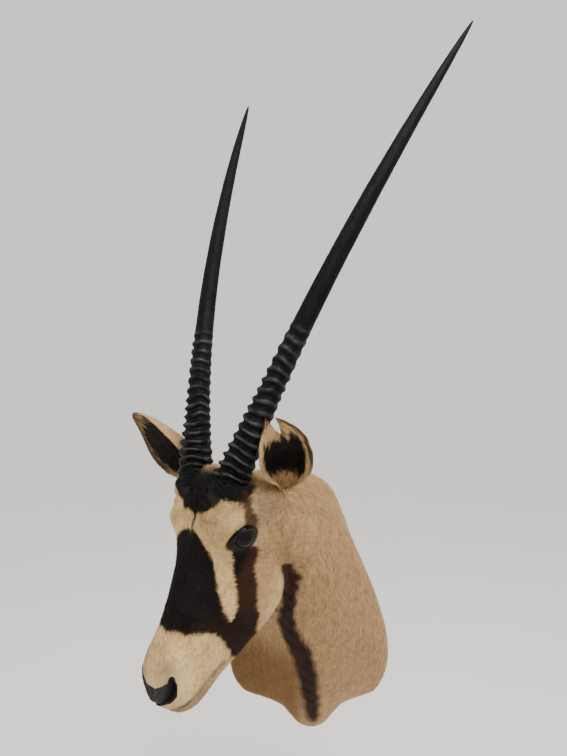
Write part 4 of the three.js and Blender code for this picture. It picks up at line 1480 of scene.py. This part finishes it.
def on_neck(sign):
    """A function that gives the chance of a hair of the neck, on one side of its middle."""
    def chance(points, facing):
        """The chance of a hair at each point."""
        beside = sign * (points[:, 0] - NECK_MIDDLE) > 0
        return clear_of_bare(points, facing) * neck_share(to_head(points)) * beside
    return chance


def grow(name, count, seed, chance, length, width, lift):
    """Scatter roots on the skin, read the coat there and make the blades."""
    roots, facing, _, rng = scatter(skin, count, seed, chance)
    shares = coat(roots)
    numbers = {label: shares[label] for label in COAT_NAMES}
    way = lie_of_coat(roots, facing)
    make_hair(name, roots, facing, way, rng, length(roots, shares), width, lift, numbers)


def face_length(roots, shares):
    """Face hair is short on the muzzle and longest on the cheeks."""
    head = to_head(roots)
    length = FACE_HAIR - 2.0 * smooth(head[:, 0], 130, 200) + 1.5 * smooth(-head[:, 2], 60, 130)
    near = np.minimum(eye_gap(head) * 17, -pad_inside(head))
    return length * (0.4 + 0.6 * smooth(near, 0, 13))


def neck_length(roots, shares):
    """Neck hair grows longer towards the throat and in the dark stripe."""
    return NECK_HAIR + 3.5 * shares["dark"] + 2.0 * smooth(-roots[:, 2], 100, 240)


grow("hair_face", FACE_HAIRS, 101, on_face, face_length, width=0.62, lift=13)
for side, sign in SIDES.items():
    grow(f"hair_neck_{side}", NECK_HAIRS, 102 + sign, on_neck(sign), neck_length, width=0.8, lift=12)

# %% Hair of the ears
EAR_HAIRS = 42_000
EAR_HALF_WIDTH = 50
EAR_NUMBERS = ("along", "across", "inside")


def ear_coat(side, along, across, inside):
    """Colours of an ear: a black hollow, tan rims, a grey tan back and worn dark edges."""
    places = np.stack([along * EAR_LENGTH, across * EAR_HALF_WIDTH], 1)
    rough = 0.035 * ripple(places, 14, 51) + 0.025 * ripple(places * [0.4, 1], 4, 52)
    last, widest = EARS[side]["hollow"]
    hollow = smooth(along + rough, 0.1, 0.24) * (1 - smooth(along + rough, last - 0.05, last + 0.05))
    hollow *= 1 - smooth(np.abs(across + 0.04) + rough, widest - 0.08, widest + 0.06)
    outer = across if side == "left" else -across
    edge = smooth(outer + rough, 0.8, 0.92) * smooth(along, 0.25, 0.5)
    tip = smooth(along + rough, 0.88, 0.97)
    within = smooth(inside, -0.3, 0.3)
    worn = np.maximum(edge, tip)
    hollow = hollow * within
    zero = 0 * along
    return {
        "dark": np.maximum(hollow, worn * 0.9), "brown": 0.7 * worn * (1 - hollow),
        "cream": within * 0.25 + 0.05, "cheek": 0.25 + zero, "thin": zero, "olive": zero,
    }


ear_finish = Finish("ear_skin", Roughness=0.75, Specular_IOR_Level=0.25)
# The ear's skin is painted darker all over: the shade that its hair casts on it.
ear_finish.feed(Base_Color=ear_finish.mix(0.3, coat_colour(ear_finish), (0.05, 0.03, 0.02)))
for side, piece in ear_pieces.items():
    values = [numbers_of(piece, name) for name in EAR_NUMBERS]
    for name, share in ear_coat(side, *values).items():
        add_numbers(piece, name, share)
    piece.data.materials.append(ear_finish.material)
    count = EAR_HAIRS
    roots, facing, at, rng = scatter(piece, count, 131, lambda p, f: np.ones(len(p)), EAR_NUMBERS)
    ahead = [
        from_head(ear_point(EARS[side], at["along"] + step, at["across"], 0 * at["along"]))
        for step in (0, 0.02)
    ]
    way = unit(ahead[1] - ahead[0])
    way = unit(way + 0.15 * np.stack([ripple(roots, 12, 66 + i) for i in range(3)], 1))
    way = unit(way - facing * dot(way, facing))
    length = 5.0 + 4.0 * smooth(at["inside"], 0, 1) * (1 - smooth(at["along"], 0.3, 0.7))
    make_hair(f"hair_ear_{side}", roots, facing, way, rng, length, 0.6, 9, ear_coat(side, *at.values()))

# %% [markdown]
# ## Horn, glass and bare skin
# Horn is charcoal with paler, shinier crests: the paler colour is partly where
# the rings have rubbed and partly a painted highlight. The smooth upper part is
# a little duller. The eye is a nearly black brown with a thin grey ring where
# the iris ends, under a hard gloss. Lids and nose pad are black leather, wetter
# looking than the hair round them, with painted shade in their creases and nostrils.
# %% Horn material
HORN_BLACK = colour(7, 7, 8)
HORN_GREY = colour(74, 72, 70)
HORN_BROWN = colour(20, 18, 17)

horn_finish = Finish("horn", Specular_IOR_Level=0.08, Coat_Roughness=0.4, Coat_IOR=1.4)
ridge = horn_finish.attribute("ridge")
along = horn_finish.attribute("length")
fibres = horn_finish.noise(260, 3, at=horn_finish.stretched((1, 1, 0.12)))
blotches = horn_finish.noise(60, 3)
crest = ridge.step(0.45, 1.0) * blotches.step(0.3, 0.7)
charcoal = horn_finish.mix(fibres.step(0.35, 0.75) * 0.5, HORN_BLACK, HORN_BROWN)
smooth_part = along.step(250, 300)
# The crests are painted paler, partly as wear and partly as a painted highlight.
rubbed_and_highlight = crest * 0.4 * (1 - smooth_part) + fibres.step(0.6, 0.8) * 0.1
horn_finish.feed(
    Base_Color=horn_finish.mix(rubbed_and_highlight, charcoal, HORN_GREY),
    Roughness=blotches * 0.25 + 0.4 + smooth_part * 0.1,
    Coat_Weight=crest * 0.35,
)
horn_finish.bump(fibres + horn_finish.noise(900, 2) * 0.4, 0.0007, 0.55)
for horn in horns.values():
    horn.data.materials.append(horn_finish.material)

# %% Glass eye material
IRIS_RADIUS = 10.2
IRIS_RING = 0.8
PUPIL = (7.2, 3.6)

eye_finish = Finish("glass_eye", Roughness=0.05, Specular_IOR_Level=0.12)
aside, up = eye_finish.attribute("along"), eye_finish.attribute("up")
radius = (aside * aside + up * up) ** 0.5
pupil = (aside * aside * (1 / PUPIL[0] ** 2) + up * up * (1 / PUPIL[1] ** 2)) ** 0.5
iris = eye_finish.mix(eye_finish.noise(900, 3), colour(24, 14, 10), colour(12, 8, 7))
iris = eye_finish.mix(1 - pupil.step(0.85, 1.1), iris, colour(6, 5, 6))
ring = (1 - ((radius - IRIS_RADIUS) ** 2 * (1 / IRIS_RING**2)).clamp()) * 0.14
white = eye_finish.mix(radius.step(IRIS_RADIUS, IRIS_RADIUS + 2), iris, colour(14, 10, 9))
eye_finish.feed(Base_Color=eye_finish.mix(ring, white, colour(70, 70, 76)))
for eye in eyes.values():
    eye.data.materials.append(eye_finish.material)

# %% Bare black skin
lid_finish = Finish("lid_skin", Specular_IOR_Level=0.2)
creases = lid_finish.noise(420, 4)
# The creases of the bump are painted darker, as shade, and their ridges lighter.
lid_finish.feed(
    Base_Color=lid_finish.mix(creases.step(0.4, 0.7), colour(9, 7, 7), colour(30, 24, 22)),
    Roughness=creases * 0.3 + 0.32,
)
lid_finish.bump(creases, 0.0008, 0.6)
for lid in lids.values():
    lid.data.materials.append(lid_finish.material)
    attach(lid, "root")
    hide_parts("hide")

pad_finish = Finish("nose_skin", Specular_IOR_Level=0.22)
cells = pad_finish.node("ShaderNodeTexVoronoi", {"feature": "DISTANCE_TO_EDGE"}, {"Scale": 520.0})
pebble = cells.step(0.0, 0.25)
worn = pad_finish.noise(90, 3).step(0.45, 0.7)
# The pebbles' tops are painted lighter as a highlight and the grooves between them darker as shade; the
# nostrils are painted darker with depth, as shade.
dry = pad_finish.mix(pebble * 0.45 + worn * 0.4, colour(9, 8, 8), colour(32, 29, 28))
pad_finish.feed(
    Base_Color=pad_finish.mix(pad_finish.attribute("pit").step(0.3, 2.2), dry, colour(5, 4, 4)),
    Roughness=worn * 0.25 + 0.35,
)
pad_finish.bump(pebble, 0.0006, 0.7)
nose.data.materials.append(pad_finish.material)
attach(nose, "root")
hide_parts("hide")

skin.data.materials.append(skin_finish.material)
for piece in (skin, *ear_pieces.values()):
    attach(piece, "root")
    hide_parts("hide")

# %% [markdown]
# ## Whiskers and lashes
# A few long bristles stand out from the chin and lips, and lashes from the
# upper lids. They are the only hairs seen one by one, so each is a thin
# round spike: a triangle's section carried along a bent line to a point.
# %% Bristles
BRISTLE_RINGS = 6
WHISKERS, LASHES = 46, 70

bristle_finish = Finish("bristle", Roughness=0.45)
bristle_finish.feed(
    Base_Color=bristle_finish.mix(bristle_finish.noise(60), colour(40, 32, 28), colour(90, 76, 62)),
)


def make_bristles(name, roots, heads, droop, lengths, radius):
    """Bent spikes: a quadratic curve per bristle with a section of three points.

    The curve leaves its root along its heading and falls by droop times the
    square of the way along.
    """
    share = np.linspace(0, 1, BRISTLE_RINGS)[None, :, None]
    side = unit(np.cross(heads, [0.3, 0.2, 1.0]))
    other = np.cross(side, heads)
    spine = roots[:, None] + heads[:, None] * share * lengths[:, None, None]
    spine = spine + droop[:, None] * share**2
    turn = np.arange(3) * 2 * np.pi / 3
    section = side[:, None] * np.cos(turn)[None, :, None] + other[:, None] * np.sin(turn)[None, :, None]
    points = spine[:, :, None] + section[:, None] * radius * (1.03 - share[..., None])
    quads, fans = tube_faces(BRISTLE_RINGS, 3)
    ends = np.stack([points[:, 0].mean(1), points[:, -1].mean(1)], 1)
    points = np.concatenate([points.reshape(len(roots), -1, 3), ends], 1)
    step = (np.arange(len(roots)) * points.shape[1])[:, None, None]
    quads, fans = (quads + step).reshape(-1, 4), (fans + step).reshape(-1, 3)
    piece = make_piece(name, points.reshape(-1, 3), quads, fans)
    piece.data.materials.append(bristle_finish.material)
    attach(piece, "root")
    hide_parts("hide")


def around_mouth(points, facing):
    """Chance of a whisker: on the lips and chin only."""
    head = to_head(points)
    lips, _ = line_distance(one_side(head), MOUTH)
    return smooth(-lips, -22, -8) * (pad_inside(head) < -3) * (head[:, 0] > 170)


roots, facing, _, rng = scatter(skin, WHISKERS, 211, around_mouth)
heads = unit(facing + 0.5 * lie_of_coat(roots, facing) + 0.25 * rng.normal(size=facing.shape))
lengths = rng.uniform(7, 20, len(roots))
droop = np.array([[0, 0, -1.0]]) * lengths[:, None] * 0.2
make_bristles("whiskers", roots, heads, droop, lengths, radius=0.16)
for side, sign in SIDES.items():
    axes = eye_axes(sign) @ HEAD_AXES
    rng = np.random.default_rng(220 + sign)
    turn = rng.uniform(0.35, 2.75, LASHES)
    flat = np.stack([LID_OPENING[0] * np.cos(turn), LID_OPENING[1] * np.sin(turn)], 1) * 1.12
    level = np.sqrt((EYE_RADIUS + 1.9) ** 2 - (flat**2).sum(1))
    middle = from_head(eye_middle(sign)[None])[0]
    roots = middle + np.column_stack([flat, level]) @ axes
    outward = np.column_stack([flat * 0.5, np.full(LASHES, 9.0)]) @ axes
    heads = unit(outward + 0.8 * axes[1] + 0.6 * rng.normal(size=(LASHES, 3)))
    lengths = rng.uniform(5, 8, LASHES)
    droop = -2.2 * axes[2] * np.ones((LASHES, 1))
    make_bristles(f"lashes_{side}", roots, heads, droop, lengths, radius=0.17)
print("Whiskers:", WHISKERS, "and lashes on each eye:", LASHES)

# %% [markdown]
# ## Board and hanger
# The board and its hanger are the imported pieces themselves. Bare softwood
# has long growth bands that saw marks cross, and the zinc plate and screws
# have a dull spangle, so each gets its finish from nodes and nothing else.
# %% Wood and steel
wood = Finish("sawn_board", Specular_IOR_Level=0.3)
bands = wood.node("ShaderNodeTexWave", {"bands_direction": "X"}, {
    "Vector": wood.stretched((1, 1, 0.12)), "Scale": 26.0, "Distortion": 9.0,
    "Detail": 4.0, "Detail Scale": 1.5,
})
fibre = wood.noise(300, 3, at=wood.stretched((1, 1, 0.05)))
saw = wood.node("ShaderNodeTexWave", {"bands_direction": "Z"}, {
    "Vector": wood.place(), "Scale": 90.0, "Distortion": 1.5,
})
grain = wood.mix(bands.step(0.2, 0.9), colour(206, 174, 130), colour(186, 148, 102))
wood.feed(
    Base_Color=wood.mix(fibre.step(0.4, 0.8) * 0.35, grain, colour(140, 98, 60)),
    Roughness=fibre * 0.2 + 0.6,
)
wood.bump(fibre + saw * 0.5, 0.0004, 0.5)
steel = Finish("zinc_plate", Metallic=1.0)
spangle = steel.node("ShaderNodeTexVoronoi", {}, {"Vector": steel.place(), "Scale": 220.0}, output=1)
fine = steel.noise(1200, 2)
steel.feed(
    Base_Color=steel.mix(0.12, colour(196, 199, 202), spangle),
    Roughness=fine * 0.25 + 0.28,
)
steel.bump(fine, 0.0002, 0.3)
for node, made in (
    ("backboard", wood), ("hanger", steel), ("hanger_screw_upper", steel), ("hanger_screw_lower", steel),
):
    for material_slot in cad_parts[node].material_slots:
        material_slot.material = made.material
